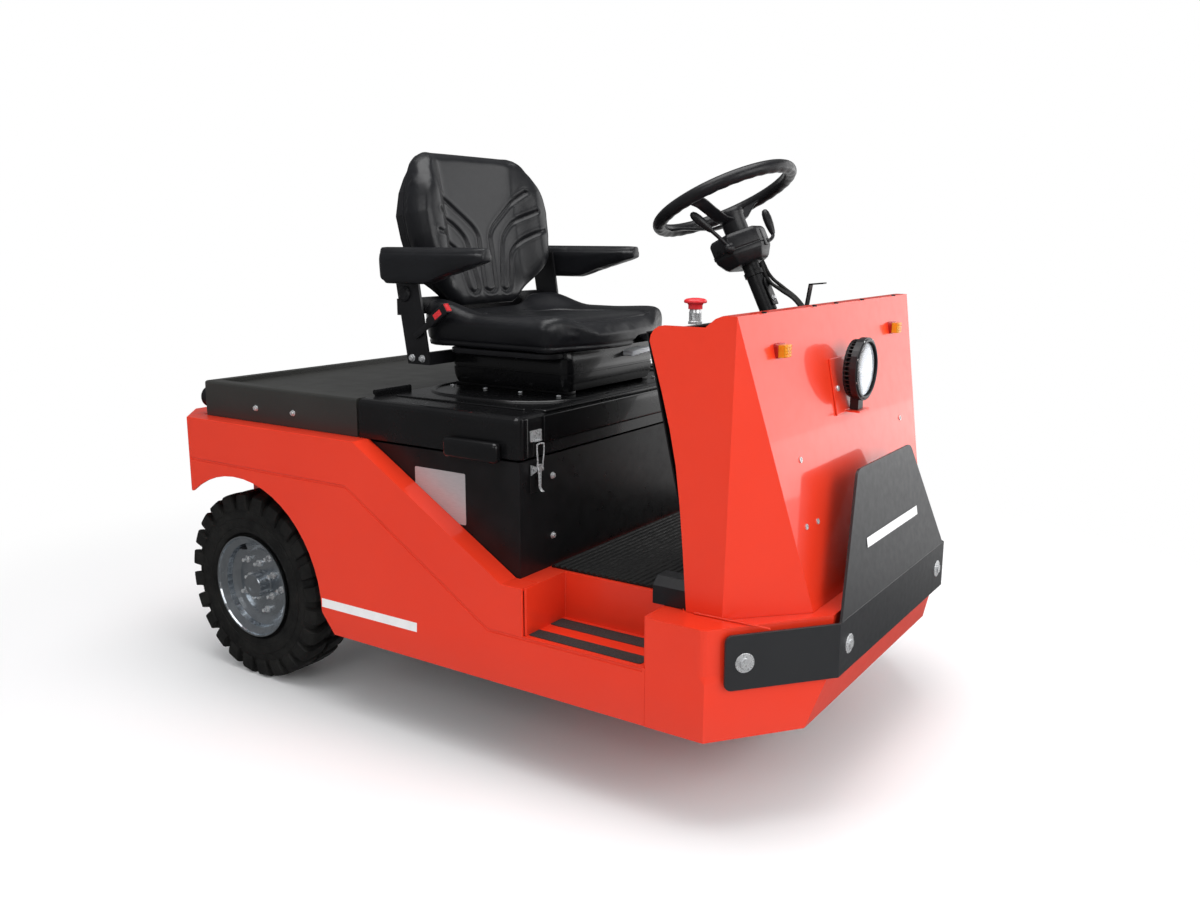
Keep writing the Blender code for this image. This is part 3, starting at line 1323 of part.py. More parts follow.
def make_rear_frame(paint, datum):
    rear = REAR_PANEL_X + REAR_SHEET + SEAM
    front = BOX_REAR_X - SEAM
    cross = box(
        (CROSS_X - RAIL_WIDTH / 2, -RAIL_Y, RAIL_BOTTOM + RAIL_WIDTH / 4),
        (CROSS_X + RAIL_WIDTH / 2, RAIL_Y, RAIL_TOP - RAIL_WIDTH / 4),
    )
    frame = place("rear_frame", cross, paint["black_steel"], datum)
    for side in (-1, 1):
        rail = box(
            (rear, side * RAIL_Y - RAIL_WIDTH / 2, RAIL_BOTTOM),
            (front, side * RAIL_Y + RAIL_WIDTH / 2, RAIL_TOP),
        )
        tube_top = REAR_TYRE_RADIUS + AXLE_TUBE_RADIUS + SEAM
        pad = box(
            (-AXLE_PAD_LENGTH / 2, side * RAIL_Y - RAIL_WIDTH / 2, tube_top),
            (AXLE_PAD_LENGTH / 2, side * RAIL_Y + RAIL_WIDTH / 2, RAIL_BOTTOM + RAIL_WIDTH / 4),
        )
        add(frame, rail, pad)


# Wheels


def make_wheelhouses(paint, datum):
    """The plates between the wheels and the rails, hung from the deck."""
    top = DECK_TOP - DECK_TRAY_DEPTH - DECK_WALL - SEAM
    rear = DECK_REAR_X + DECK_WALL + SEAM
    front = DECK_SPLIT_X - DECK_WALL - SEAM
    for side, word in ((-1, "right"), (1, "left")):
        start, end = sorted((side * WHEELHOUSE_Y, side * (WHEELHOUSE_Y - WHEELHOUSE_SHEET)))
        plate = box((rear, start, WHEELHOUSE_BOTTOM), (front, end, top))
        place(f"wheelhouse_{word}", plate, paint["body_red"], datum)


def rear_wheel_faces():
    outer = REAR_WHEEL_Y + REAR_TYRE_WIDTH / 2
    inner = REAR_WHEEL_Y - REAR_TYRE_WIDTH / 2
    return inner, outer


def make_rear_axle(paint, datum):
    inner, outer = rear_wheel_faces()
    disc_inner = outer - RIM_DISC_DEPTH - RIM_DISC_THICKNESS
    stub_end = disc_inner - STUB_END_GAP
    flange_out = inner - STUB_END_GAP
    half = [
        (flange_out - AXLE_FLANGE_WIDTH, AXLE_TUBE_RADIUS),
        (flange_out - AXLE_FLANGE_WIDTH, AXLE_FLANGE_RADIUS),
        (flange_out, AXLE_FLANGE_RADIUS),
        (flange_out, AXLE_STUB_RADIUS),
        (stub_end, AXLE_STUB_RADIUS),
        (stub_end, 0),
    ]
    gearbox = [
        (GEARBOX_Y - GEARBOX_HALF_WIDTH, AXLE_TUBE_RADIUS),
        (GEARBOX_Y - GEARBOX_HALF_WIDTH, GEARBOX_RADIUS * 0.7),
        (GEARBOX_Y - GEARBOX_HALF_WIDTH / 2, GEARBOX_RADIUS),
        (GEARBOX_Y + GEARBOX_HALF_WIDTH / 2, GEARBOX_RADIUS),
        (GEARBOX_Y + GEARBOX_HALF_WIDTH, GEARBOX_RADIUS * 0.7),
        (GEARBOX_Y + GEARBOX_HALF_WIDTH, AXLE_TUBE_RADIUS),
    ]
    profile = [(-along, radius) for along, radius in half[::-1]] + gearbox + half
    axle = place("rear_axle", turned(profile, "Y", (0, 0, REAR_TYRE_RADIUS)), paint["cast_grey"], datum)
    motor_centre = (0, GEARBOX_Y, REAR_TYRE_RADIUS)
    add(axle, cylinder(MOTOR_RADIUS, "X", motor_centre, GEARBOX_RADIUS / 5, MOTOR_REACH))


def lugged_tyre(rows, centre):
    """Rows: place along the axle, radius, rise of a lug, how far it stands out, and 1 where lugs are.

    The second half of the rows is the other shoulder, whose lugs stand half a pitch on.
    """
    shape = bmesh.new()
    columns = len(LUG_COLUMNS_SHARE)
    count = LUG_COUNT * columns
    loops = []
    for k, (along, radius, rise, proud, patterned) in enumerate(rows):
        near = k < len(rows) / 2
        ring = []
        for i in range(count):
            step = i if near else i + columns // 2
            share, raised = LUG_COLUMNS_SHARE[step % columns]
            pitch = step // columns + share - (0 if near else 0.5)
            even = (i + 0.5) / columns - 0.5
            slant = LUG_SLANT_SHARE * (1 - abs(along) * 2 / REAR_TYRE_WIDTH) * (1 if near else -1)
            angle = math.tau * (pitch + slant if patterned else even) / LUG_COUNT
            reach = radius + rise * raised
            place_along = along + math.copysign(proud * raised, along)
            point = (reach * math.cos(angle), reach * math.sin(angle))
            ring.append(shape.verts.new(spread(point, "Y", place_along)))
        loops.append(ring)
    for k in range(len(loops)):
        first, second = loops[k], loops[(k + 1) % len(loops)]
        for i in range(count):
            j = (i + 1) % count
            shape.faces.new((first[i], first[j], second[j], second[i]))
    bmesh.ops.translate(shape, verts=shape.verts, vec=Vector(centre))
    return shape


def make_rear_wheels(paint, datum):
    inner, outer = rear_wheel_faces()
    disc_out = outer - RIM_DISC_DEPTH
    disc_in = disc_out - RIM_DISC_THICKNESS
    bore = AXLE_STUB_RADIUS + STUB_CLEARANCE
    barrel = RIM_SEAT_RADIUS - RIM_WALL
    rim_profile = [
        (disc_out + HUB_NOSE_REACH, 0),
        (disc_out + HUB_NOSE_REACH, HUB_NOSE_RADIUS),
        (disc_out, HUB_NOSE_RADIUS),
        (disc_out, RIM_DISC_RADIUS),
        (disc_out + RIM_BOWL_INSET / 2, RIM_DISC_RADIUS + RIM_BOWL_INSET),
        (outer - RIM_FLANGE_WIDTH - RIM_BOWL_DEPTH, barrel - RIM_WALL / 2),
        (outer - RIM_FLANGE_WIDTH, barrel),
        (outer - RIM_LIP, RIM_FLANGE_RADIUS - RIM_WALL),
        (outer, RIM_FLANGE_RADIUS - RIM_LIP),
        (outer, RIM_FLANGE_RADIUS),
        (outer - RIM_FLANGE_WIDTH / 2, RIM_FLANGE_RADIUS),
        (outer - RIM_FLANGE_WIDTH, RIM_SEAT_RADIUS),
        (inner + RIM_FLANGE_WIDTH, RIM_SEAT_RADIUS),
        (inner + RIM_FLANGE_WIDTH / 2, RIM_FLANGE_RADIUS),
        (inner, RIM_FLANGE_RADIUS),
        (inner, RIM_FLANGE_RADIUS - RIM_WALL),
        (inner + RIM_FLANGE_WIDTH, barrel),
        (disc_in, RIM_DISC_RADIUS),
        (disc_in, HUB_RADIUS),
        (inner + RIM_FLANGE_WIDTH / 2, HUB_RADIUS),
        (inner + RIM_FLANGE_WIDTH / 2, bore),
        (disc_in - STUB_END_GAP / 2, bore),
        (disc_in - STUB_END_GAP / 2, 0),
    ]
    bead = RIM_SEAT_RADIUS + TYRE_BEAD_GAP
    flange = RIM_FLANGE_RADIUS + TYRE_BEAD_GAP
    half_width = REAR_TYRE_WIDTH / 2
    side_in = half_width - RIM_FLANGE_WIDTH - TYRE_BEAD_GAP
    base = REAR_TYRE_RADIUS - LUG_RISE
    foot = REAR_TYRE_RADIUS - LUG_FOOT_DROP
    rows = [
        (side_in, bead, 0, 0, 0),
        (side_in, flange + RIM_FLANGE_WIDTH / 4, 0, 0, 0),
        (half_width - RIM_FLANGE_WIDTH / 4, flange + RIM_FLANGE_WIDTH / 4, 0, 0, 0),
        (half_width - RIM_FLANGE_WIDTH / 5, foot, 0, 0, 1),
        (half_width - LUG_SIDE_PROUD, base - LUG_RISE / 4, LUG_RISE / 2, LUG_SIDE_PROUD, 1),
        (half_width - TYRE_SHOULDER, base, LUG_RISE, 0, 1),
        (LUG_GROOVE_HALF, base, LUG_RISE, 0, 1),
    ]
    rows += [(-along, *rest) for along, *rest in rows[::-1]]
    for side, word in ((-1, "right"), (1, "left")):
        pivot = make_pivot(
            f"rear_wheel_{word}_axis", (0, side * REAR_WHEEL_Y, REAR_TYRE_RADIUS), datum
        )
        hub = (0, 0, REAR_TYRE_RADIUS)
        rim = turned(rim_profile, "Y", hub, WHEEL_SEGMENTS)
        tyre = lugged_tyre(rows, (0, REAR_WHEEL_Y, REAR_TYRE_RADIUS))
        if side < 0:
            rim, tyre = mirrored(rim), mirrored(tyre)
        place(f"rear_rim_{word}", rim, paint["zinc"], pivot)
        place(f"rear_tyre_{word}", tyre, paint["rubber"], pivot)


def make_front_wheel(paint, datum):
    steer = make_pivot("front_steer_axis", (FRONT_AXLE_X, 0, FRONT_TYRE_RADIUS), datum)
    spin = make_pivot("front_wheel_axis", (0, 0, 0), steer)
    centre = (FRONT_AXLE_X, 0, FRONT_TYRE_RADIUS)
    head = FLOOR_TOP - SHEET - SEAM
    plate = cylinder(STEER_PLATE_RADIUS, "Z", (FRONT_AXLE_X, 0, 0), head - STEER_PLATE, head)
    place("steer_plate", plate, paint["cast_grey"], datum)

    crown_top = FORK_CROWN_BOTTOM + FORK_CROWN
    reach = FORK_CHEEK_Y + FORK_CHEEK
    crown = box(
        (FRONT_AXLE_X - FORK_CHEEK_WIDTH / 2, -reach, FORK_CROWN_BOTTOM),
        (FRONT_AXLE_X + FORK_CHEEK_WIDTH / 2, reach, crown_top),
    )
    fork = place("front_fork", crown, paint["black_steel"], steer)
    neck_top = head - STEER_PLATE - SEAM
    add(fork, cylinder(FORK_NECK_RADIUS, "Z", (FRONT_AXLE_X, 0, 0), crown_top - FORK_CROWN / 2, neck_top))
    for side in (-1, 1):
        cheek = rounded(
            [
                (FRONT_AXLE_X - FORK_CHEEK_WIDTH / 2, crown_top - FORK_CROWN / 2),
                (FRONT_AXLE_X - FORK_CHEEK_WIDTH / 2, FRONT_TYRE_RADIUS - FORK_FOOT_DROP),
                (FRONT_AXLE_X + FORK_CHEEK_WIDTH / 2, FRONT_TYRE_RADIUS - FORK_FOOT_DROP),
                (FRONT_AXLE_X + FORK_CHEEK_WIDTH / 2, crown_top - FORK_CROWN / 2),
            ],
            [0, FORK_FOOT_DROP * 0.8, FORK_FOOT_DROP * 0.8, 0],
        )
        start, end = sorted((side * FORK_CHEEK_Y, side * reach))
        add(fork, prism(cheek, "Y", start, end))
    stub = FORK_CHEEK_Y + FORK_CHEEK / 2
    add(fork, cylinder(FRONT_STUB_RADIUS, "Y", centre, -stub, stub))

    bore = FRONT_STUB_RADIUS + STUB_CLEARANCE
    half = [
        (FRONT_HUB_HALF, bore),
        (FRONT_HUB_HALF, HUB_NOSE_RADIUS),
        (RIM_DISC_THICKNESS, HUB_RADIUS),
        (RIM_DISC_THICKNESS, FRONT_RIM_RADIUS - RIM_WALL),
        (FRONT_RIM_WIDTH / 2, FRONT_RIM_RADIUS - RIM_WALL),
        (FRONT_RIM_WIDTH / 2, FRONT_RIM_RADIUS),
    ]
    rim = turned(half + [(-along, radius) for along, radius in half[::-1]], "Y", centre, ROUND_SEGMENTS)
    place("front_rim", rim, paint["cast_grey"], spin)
    seat = FRONT_RIM_RADIUS + TYRE_BEAD_GAP
    side_y = FRONT_TYRE_WIDTH / 2
    half_tyre = [
        (FRONT_RIM_WIDTH / 2, seat),
        (side_y, seat + RIM_FLANGE_WIDTH),
        (side_y, FRONT_TYRE_RADIUS - TYRE_SHOULDER_DROP),
        (side_y - TYRE_SHOULDER_DROP, FRONT_TYRE_RADIUS),
    ]
    tyre = turned(
        half_tyre + [(-along, radius) for along, radius in half_tyre[::-1]], "Y", centre, ROUND_SEGMENTS
    )
    place("front_tyre", tyre, paint["rubber"], spin)


# Hood


def make_hood(paint, datum):
    rear = DECK_SPLIT_X + HOOD_REAR_GAP
    hinge = make_pivot("hood_hinge_axis", (rear, 0, DECK_TOP + HINGE_LIFT), datum)
    low = (rear, -DECK_HALF_WIDTH, DECK_BOTTOM)
    high = (HOOD_FRONT_X, DECK_HALF_WIDTH, DECK_TOP)
    body = box(low, high)
    above = 2 * (DECK_BOTTOM + SHEET)
    bevel_where(body, HOOD_EDGE, 3, lambda a, b: a.z + b.z > above and a.x + b.x > 2 * rear + SHEET)
    hood = place("hood", body, paint["black_plastic"], hinge)
    under = box(
        (rear + HOOD_WALL, -DECK_HALF_WIDTH + HOOD_WALL, DECK_BOTTOM - CUT_MARGIN),
        (HOOD_FRONT_X - HOOD_WALL, DECK_HALF_WIDTH - HOOD_WALL, DECK_TOP - HOOD_WALL),
    )
    cut(hood, under)
    for side in (-1, 1):
        barrel_z = DECK_TOP + HINGE_LIFT
        start = side * HINGE_Y - HINGE_LENGTH / 2
        barrel = cylinder(HINGE_RADIUS, "Y", (rear, 0, barrel_z), start, start + HINGE_LENGTH, SMALL_SEGMENTS)
        leaf = box(
            (rear, start, DECK_TOP - HOOD_WALL / 2),
            (rear + HINGE_RADIUS, start + HINGE_LENGTH, barrel_z),
        )
        add(hood, leaf, barrel)
        half_length, half_height = HANDLE_POD_LENGTH / 2, HANDLE_POD_HEIGHT / 2
        corners = [(HANDLE_POD_X - half_length, HANDLE_POD_Z - half_height)]
        corners += [(HANDLE_POD_X + half_length, HANDLE_POD_Z - half_height)]
        corners += [(HANDLE_POD_X + half_length, HANDLE_POD_Z + half_height)]
        corners += [(HANDLE_POD_X - half_length, HANDLE_POD_Z + half_height)]
        outline = rounded(corners, [half_height * 0.9] * 4)
        inside = side * (DECK_HALF_WIDTH - HOOD_WALL / 2)
        outside = side * (DECK_HALF_WIDTH + HANDLE_POD_DEPTH)
        start, end = sorted((inside, outside))
        add(hood, prism(outline, "Y", start, end))
    return hinge


def make_latch(paint, datum):
    face = BOX_FRONT_X + SEAM
    low = (face, LATCH_Y - LATCH_HALF_WIDTH, LATCH_BOTTOM)
    high = (face + LATCH_PLATE, LATCH_Y + LATCH_HALF_WIDTH, LATCH_TOP)
    latch = place("hood_latch", box(low, high), paint["zinc"], datum)
    lever = box(
        (face + LATCH_PLATE / 2, LATCH_Y - LATCH_HALF_WIDTH / 2, LATCH_BOTTOM + LATCH_LEVER),
        (LATCH_BAIL_X + LATCH_WIRE / 2, LATCH_Y + LATCH_HALF_WIDTH / 2, LATCH_TOP - LATCH_LEVER / 2),
    )
    add(latch, lever)
    for side in (-1, 1):
        wire_y = LATCH_Y + side * (LATCH_HALF_WIDTH - LATCH_WIRE)
        wire = box(
            (LATCH_BAIL_X, wire_y - LATCH_WIRE / 2, LATCH_TOP - 2 * LATCH_LEVER),
            (LATCH_BAIL_X + LATCH_WIRE, wire_y + LATCH_WIRE / 2, LATCH_BAIL_TOP),
        )
        add(latch, wire)
    for height in (LATCH_TOP - 2 * LATCH_LEVER, LATCH_BAIL_TOP - LATCH_WIRE):
        bar = box(
            (LATCH_BAIL_X, LATCH_Y - LATCH_HALF_WIDTH + LATCH_WIRE, height),
            (LATCH_BAIL_X + LATCH_WIRE, LATCH_Y + LATCH_HALF_WIDTH - LATCH_WIRE, height + LATCH_WIRE),
        )
        add(latch, bar)


# Seat


def make_seat(paint, hinge):
    floor_z = DECK_TOP + SEAM
    plinth = box(
        (SEAT_BASE_REAR_X, -SEAT_PLINTH_HALF, floor_z),
        (SEAT_BASE_FRONT_X, SEAT_PLINTH_HALF, floor_z + SEAT_PLINTH),
    )
    base = place("seat_base", plinth, paint["black_steel"], hinge)
    tower = box(
        (SEAT_BASE_REAR_X + SEAT_PLINTH, -SEAT_BASE_HALF, floor_z + SEAT_PLINTH / 2),
        (SEAT_BASE_FRONT_X - SEAT_PLINTH, SEAT_BASE_HALF, SEAT_BASE_TOP - SEAM),
    )
    bevel_where(tower, SEAT_BASE_EDGE, 2, lambda a, b: a.x == b.x and a.y == b.y)
    add(base, tower)

    rings = []
    for run, half, middle, bolster in CUSHION_RUN_SHARES:
        x = CUSHION_REAR_X + (CUSHION_FRONT_X - CUSHION_REAR_X) * run
        right = []
        for across, bolster_share, height_share in CUSHION_SECTION_SHARES:
            top = middle + (bolster - middle) * bolster_share
            z = SEAT_BASE_TOP + CUSHION_HEIGHT * top * height_share
            right.append((across * half * CUSHION_HALF, z))
        section = right + [(-y, z) for y, z in right[:0:-1]]
        rings.append([spread(point, "X", x) for point in section])
    place("seat_cushion", loft(rings), paint["black_vinyl"], hinge)


def back_frame():
    """Carries points from the backrest's own plane, up it and forward of it, into the vehicle."""
    foot = Matrix.Translation((BACK_BOTTOM_X, 0, BACK_BOTTOM_Z))
    return foot @ Matrix.Rotation(-BACK_LEAN, 4, "Y")


def back_outline(inset):
    right = []
    for rise, half, _ in BACK_RISE_SHARES:
        z = inset + (BACK_HEIGHT - 2 * inset) * rise
        right.append((half * BACK_HALF - inset, z))
    return right + [(-y, z) for y, z in right[::-1]]


def make_backrest(paint, hinge):
    rings = []
    for rise, half, wing in BACK_RISE_SHARES:
        right = []
        for across, flat_depth, wing_depth in BACK_SECTION_SHARES:
            depth = flat_depth + (wing_depth - flat_depth) * wing
            right.append((depth * BACK_THICKNESS, across * half * BACK_HALF))
        section = right + [(depth, -y) for depth, y in right[:0:-1]]
        rings.append([spread(point, "Z", BACK_HEIGHT * rise) for point in section])
    place("backrest", moved_by(loft(rings), back_frame()), paint["black_vinyl"], hinge)

    shell = prism(back_outline(SHELL_INSET), "X", -SHELL_THICKNESS, -SEAM)
    frame = place("seat_frame", moved_by(shell, back_frame()), paint["black_plastic"], hinge)
    for side in (-1, 1):
        outline = [
            (SIDE_PLATE_REAR_X, SIDE_PLATE_BOTTOM),
            (SIDE_PLATE_FRONT_X, SIDE_PLATE_BOTTOM),
            (SIDE_PLATE_TOP_FRONT_X, SIDE_PLATE_TOP),
            (SIDE_PLATE_TOP_REAR_X, SIDE_PLATE_TOP),
        ]
        start, end = sorted((side * SIDE_PLATE_Y, side * (SIDE_PLATE_Y + SIDE_PLATE)))
        add(frame, prism(outline, "Y", start, end))
        pin_start, pin_end = sorted(
            (side * (SIDE_PLATE_Y + SIDE_PLATE / 2), side * (SIDE_PLATE_Y + SIDE_PLATE + ARM_PIN_REACH))
        )
        pin = cylinder(ARM_PIN_RADIUS, "Y", (ARM_PIVOT_X, 0, ARM_PIVOT_Z), pin_start, pin_end, SMALL_SEGMENTS)
        add(frame, pin)
    spine = box(
        (SPINE_REAR_X, -SIDE_PLATE_Y - SIDE_PLATE / 2, BACK_BOTTOM_Z - SIDE_PLATE),
        (SPINE_REAR_X + SPINE, SIDE_PLATE_Y + SIDE_PLATE / 2, BACK_BOTTOM_Z + SHELL_INSET * 2),
    )
    tower = SEAT_BASE_REAR_X + SEAT_PLINTH
    cross = box(
        (SEAT_BASE_REAR_X, -SIDE_PLATE_Y - SIDE_PLATE / 2, SIDE_PLATE_BOTTOM),
        (tower - SEAM, SIDE_PLATE_Y + SIDE_PLATE / 2, SEAT_BASE_TOP - SEAT_PLINTH),
    )
    add(frame, spine, cross)


def make_armrests(paint, hinge, datum):
    inner = SIDE_PLATE_Y + SIDE_PLATE + ARM_GAP
    outline = rounded(
        [
            (ARM_REAR_X, ARM_TOP),
            (ARM_TIP_X, ARM_TOP),
            (ARM_TIP_X, ARM_TIP_BOTTOM),
            (ARM_TAPER_X, ARM_BOTTOM),
            (ARM_REAR_X, ARM_BOTTOM),
        ],
        [ARM_EDGE, ARM_EDGE, ARM_EDGE, ARM_EDGE, ARM_EDGE * 2],
    )
    for side, word in ((-1, "right"), (1, "left")):
        world = hinge.matrix_world.inverted() @ datum.matrix_world @ Vector((ARM_PIVOT_X, 0, ARM_PIVOT_Z))
        pivot = make_pivot(f"armrest_{word}_axis", world, hinge)
        start, end = sorted((side * inner, side * (inner + ARM_WIDTH)))
        arm = bevel_sharp(prism(outline, "Y", start, end), ARM_EDGE / 2, 2, math.radians(60.0))
        armrest = place(f"armrest_{word}", arm, paint["black_vinyl"], pivot)
        socket_start, socket_end = sorted(
            (side * (inner - CUT_MARGIN), side * (SIDE_PLATE_Y + SIDE_PLATE + ARM_PIN_REACH + STUB_CLEARANCE))
        )
        socket = cylinder(
            ARM_PIN_RADIUS + STUB_CLEARANCE,
            "Y",
            (ARM_PIVOT_X, 0, ARM_PIVOT_Z),
            socket_start,
            socket_end,
            SMALL_SEGMENTS,
        )
        cut(armrest, socket)


def make_seat_fittings(paint, hinge):
    corner = (BUCKLE_LENGTH / 2, BUCKLE_THICKNESS / 2, BUCKLE_WIDTH / 2)
    shape = box([-size for size in corner], corner)
    bevel_sharp(shape, BUCKLE_THICKNESS / 5, 1)
    lean = Matrix.Translation((BUCKLE_X, 0, BUCKLE_Z)) @ Matrix.Rotation(BUCKLE_LEAN, 4, "Y")
    moved_by(shape, lean @ Matrix.Translation((0, BUCKLE_Y, 0)))
    buckle = place("belt_buckle", shape, paint["black_plastic"], hinge)
    plate = SIDE_PLATE_Y + SIDE_PLATE + SEAM
    stalk = box(
        (-STALK_REACH, -plate - STALK_THICKNESS, -STALK_WIDTH / 2),
        (0, -plate, STALK_WIDTH / 2),
    )
    add(buckle, moved_by(stalk, lean))
    start = SEAT_BASE_FRONT_X - SEAT_PLINTH + SEAM
    handle = box(
        (start, ADJUSTER_Y - ADJUSTER_WIDTH / 2, ADJUSTER_Z - ADJUSTER_HEIGHT / 2),
        (start + ADJUSTER_REACH, ADJUSTER_Y + ADJUSTER_WIDTH / 2, ADJUSTER_Z + ADJUSTER_HEIGHT / 2),
    )
    bevel_sharp(handle, ADJUSTER_HEIGHT / 4, 2)
    place("seat_adjuster", handle, paint["pale_grey"], hinge)


# Steering and controls


def spoke_points(angle):
    """The middle line of one spoke, from the hub out and up to the grip."""
    run = ((0.6, 0), (1.8, 0.1), (3.4, 0.75))
    points = []
    for outward, up in run:
        reach = STEERING_HUB_RADIUS * outward
        height = -HUB_BOTTOM_DROP + SPOKE_WIDTH + HUB_TOP_DROP * 0.2 + up * (HUB_BOTTOM_DROP - SPOKE_WIDTH)
        points.append(Vector((reach * math.cos(angle), reach * math.sin(angle), height)))
    points.append(Vector((STEERING_RADIUS * math.cos(angle), STEERING_RADIUS * math.sin(angle), 0)))
    return points


def make_steering(paint, datum):
    axis = make_pivot(
        "steering_axis", (WHEEL_CENTRE_X, 0, WHEEL_CENTRE_Z), datum, -COLUMN_LEAN
    )
    grip_ring = []
    for k in range(10):
        angle = math.tau * k / 10
        grip_ring.append(
            (STEERING_GRIP * math.sin(angle), STEERING_RADIUS + STEERING_GRIP * math.cos(angle))
        )
    wheel = place_local(
        "steering_wheel", turned(grip_ring, "Z", (0, 0, 0), WHEEL_SEGMENTS), paint["black_plastic"], axis
    )
    hub = cylinder(STEERING_HUB_RADIUS, "Z", (0, 0, 0), -HUB_BOTTOM_DROP, -HUB_TOP_DROP)
    add(wheel, hub)
    for angle in (math.radians(90.0), math.radians(-90.0), math.radians(180.0)):
        across = Vector((-math.sin(angle), math.cos(angle), 0)) * SPOKE_WIDTH / 2
        rings = []
        points = spoke_points(angle)
        for i, point in enumerate(points):
            ahead = points[min(i + 1, len(points) - 1)] - points[max(i - 1, 0)]
            up = ahead.cross(across).normalized() * SPOKE_THICKNESS / 2
            rings.append([point - across - up, point + across - up, point + across + up, point - across + up])
        add(wheel, loft(rings))

    top = -HOUSING_TOP_DROP - SEAM
    corners = [(-HOUSING_BACK, -HOUSING_HALF_WIDTH), (HOUSING_FRONT, -HOUSING_HALF_WIDTH)]
    corners += [(HOUSING_FRONT, HOUSING_HALF_WIDTH), (-HOUSING_BACK, HOUSING_HALF_WIDTH)]
    body = prism(rounded(corners, [HOUSING_CORNER] * 4, 1), "Z", top - HOUSING_HEIGHT, top)
    bevel_where(body, HOUSING_CORNER * 0.6, 1, lambda a, b: a.z == b.z)
    housing = place_local("switch_housing", body, paint["black_plastic"], axis)
    stalk_z = top - HOUSING_HEIGHT * 0.4
    for reach_share, side in ((1.0, -1), (0.6, 1)):
        stalk_end = HOUSING_HALF_WIDTH + LEVER_KNOB_LENGTH * reach_share
        rod = cylinder(
            LEVER_RADIUS, "Y", (0, 0, stalk_z), HOUSING_HALF_WIDTH * 0.8, stalk_end, SMALL_SEGMENTS
        )
        knob = cylinder(
            LEVER_KNOB_RADIUS,
            "Y",
            (0, 0, stalk_z),
            stalk_end - LEVER_KNOB_LENGTH * 0.1,
            stalk_end + LEVER_KNOB_LENGTH * 0.6,
            SMALL_SEGMENTS,
        )
        pieces = [rod, knob]
        if side < 0:
            pieces = [mirrored(piece) for piece in pieces]
        add(housing, *pieces)

    tube_top = top - HOUSING_HEIGHT - SEAM
    tube = cylinder(COLUMN_RADIUS, "Z", (0, 0, 0), -COLUMN_END_DROP, tube_top)
    place_local("steering_column", tube, paint["black_steel"], axis)


def make_cable(paint, datum):
    """The wiring from the switch housing down to the dash."""
    curve = bpy.data.curves.new("column_cable", "CURVE")
    curve.dimensions = "3D"
    curve.bevel_depth = CABLE_RADIUS
    curve.bevel_resolution = 2
    curve.use_fill_caps = True
    rear = Vector((DASH_REAR_X, 0, DASH_REAR_Z))
    points = curve_through([rear + Vector(point) for point in CABLE_ROUTE], 2)
    spline = curve.splines.new("POLY")
    spline.points.add(len(points) - 1)
    for knot, point in zip(spline.points, points):
        knot.co = (*point, 1)
    attach(bpy.data.objects.new("column_cable", curve), paint["rubber"], datum)


def make_stop_button(paint, datum):
    slope = (DASH_FRONT_Z - DASH_REAR_Z) / (DASH_FRONT_X - DASH_REAR_X)
    surface = DASH_REAR_Z + slope * (STOP_X - DASH_REAR_X)
    base = surface + slope * STOP_BARREL_RADIUS + SEAM
    centre = (STOP_X, STOP_Y, 0)
    barrel = cylinder(STOP_BARREL_RADIUS, "Z", centre, base, base + STOP_BARREL_HEIGHT)
    place("stop_barrel", barrel, paint["zinc"], datum)
    top = base + STOP_BARREL_HEIGHT + SEAM
    profile = [
        (top, 0),
        (top, STOP_NECK_RADIUS),
        (top + STOP_BUTTON_HEIGHT * 0.45, STOP_NECK_RADIUS),
        (top + STOP_BUTTON_HEIGHT * 0.6, STOP_BUTTON_RADIUS),
        (top + STOP_BUTTON_HEIGHT * 0.85, STOP_BUTTON_RADIUS * 0.94),
        (top + STOP_BUTTON_HEIGHT, STOP_BUTTON_RADIUS * 0.5),
        (top + STOP_BUTTON_HEIGHT, 0),
    ]
    place("stop_button", turned(profile, "Z", centre), paint["stop_red"], datum)


def make_hand_lever(paint, datum):
    slope = (DASH_FRONT_Z - DASH_REAR_Z) / (DASH_FRONT_X - DASH_REAR_X)
    foot = DASH_REAR_Z + slope * (HAND_LEVER_X + HAND_LEVER_SHEET - DASH_REAR_X) + HAND_LEVER_LIFT
    path = [
        (HAND_LEVER_X, foot),
        (HAND_LEVER_X + HAND_LEVER_LEAN, foot + HAND_LEVER_HEIGHT),
        (HAND_LEVER_X + HAND_LEVER_LEAN + HAND_LEVER_ARM, foot + HAND_LEVER_HEIGHT + HAND_LEVER_SHEET),
    ]
    half = HAND_LEVER_WIDTH / 2
    lever = prism(strip(path, HAND_LEVER_SHEET), "Y", HAND_LEVER_Y - half, HAND_LEVER_Y + half)
    place("hand_lever", lever, paint["black_steel"], datum)


def make_pedals(paint, datum):
    base = FLOOR_TOP + MAT_BASE + MAT_RIB + 3 * SEAM
    pedals = None
    for middle, width in ((ACCELERATOR_Y, ACCELERATOR_WIDTH), (BRAKE_Y, BRAKE_WIDTH)):
        outline = [
            (PEDAL_X - PEDAL_LENGTH / 2, base),
            (PEDAL_X + PEDAL_LENGTH / 2, base),
            (PEDAL_X + PEDAL_LENGTH / 2, base + PEDAL_RISE + PEDAL_HEEL),
            (PEDAL_X + PEDAL_LENGTH / 2 - PEDAL_SHEET, base + PEDAL_RISE + PEDAL_HEEL),
            (PEDAL_X - PEDAL_LENGTH / 2, base + PEDAL_HEEL),
        ]
        shape = prism(outline, "Y", middle - width / 2, middle + width / 2)
        if pedals is None:
            pedals = place("pedals", shape, paint["rubber"], datum)
        else:
            add(pedals, shape)
    bridge = box(
        (PEDAL_X + PEDAL_LENGTH / 2 - PEDAL_BRIDGE, ACCELERATOR_Y, base),
        (PEDAL_X + PEDAL_LENGTH / 2 - PEDAL_SHEET / 2, BRAKE_Y, base + PEDAL_HEEL),
    )
    add(pedals, bridge)


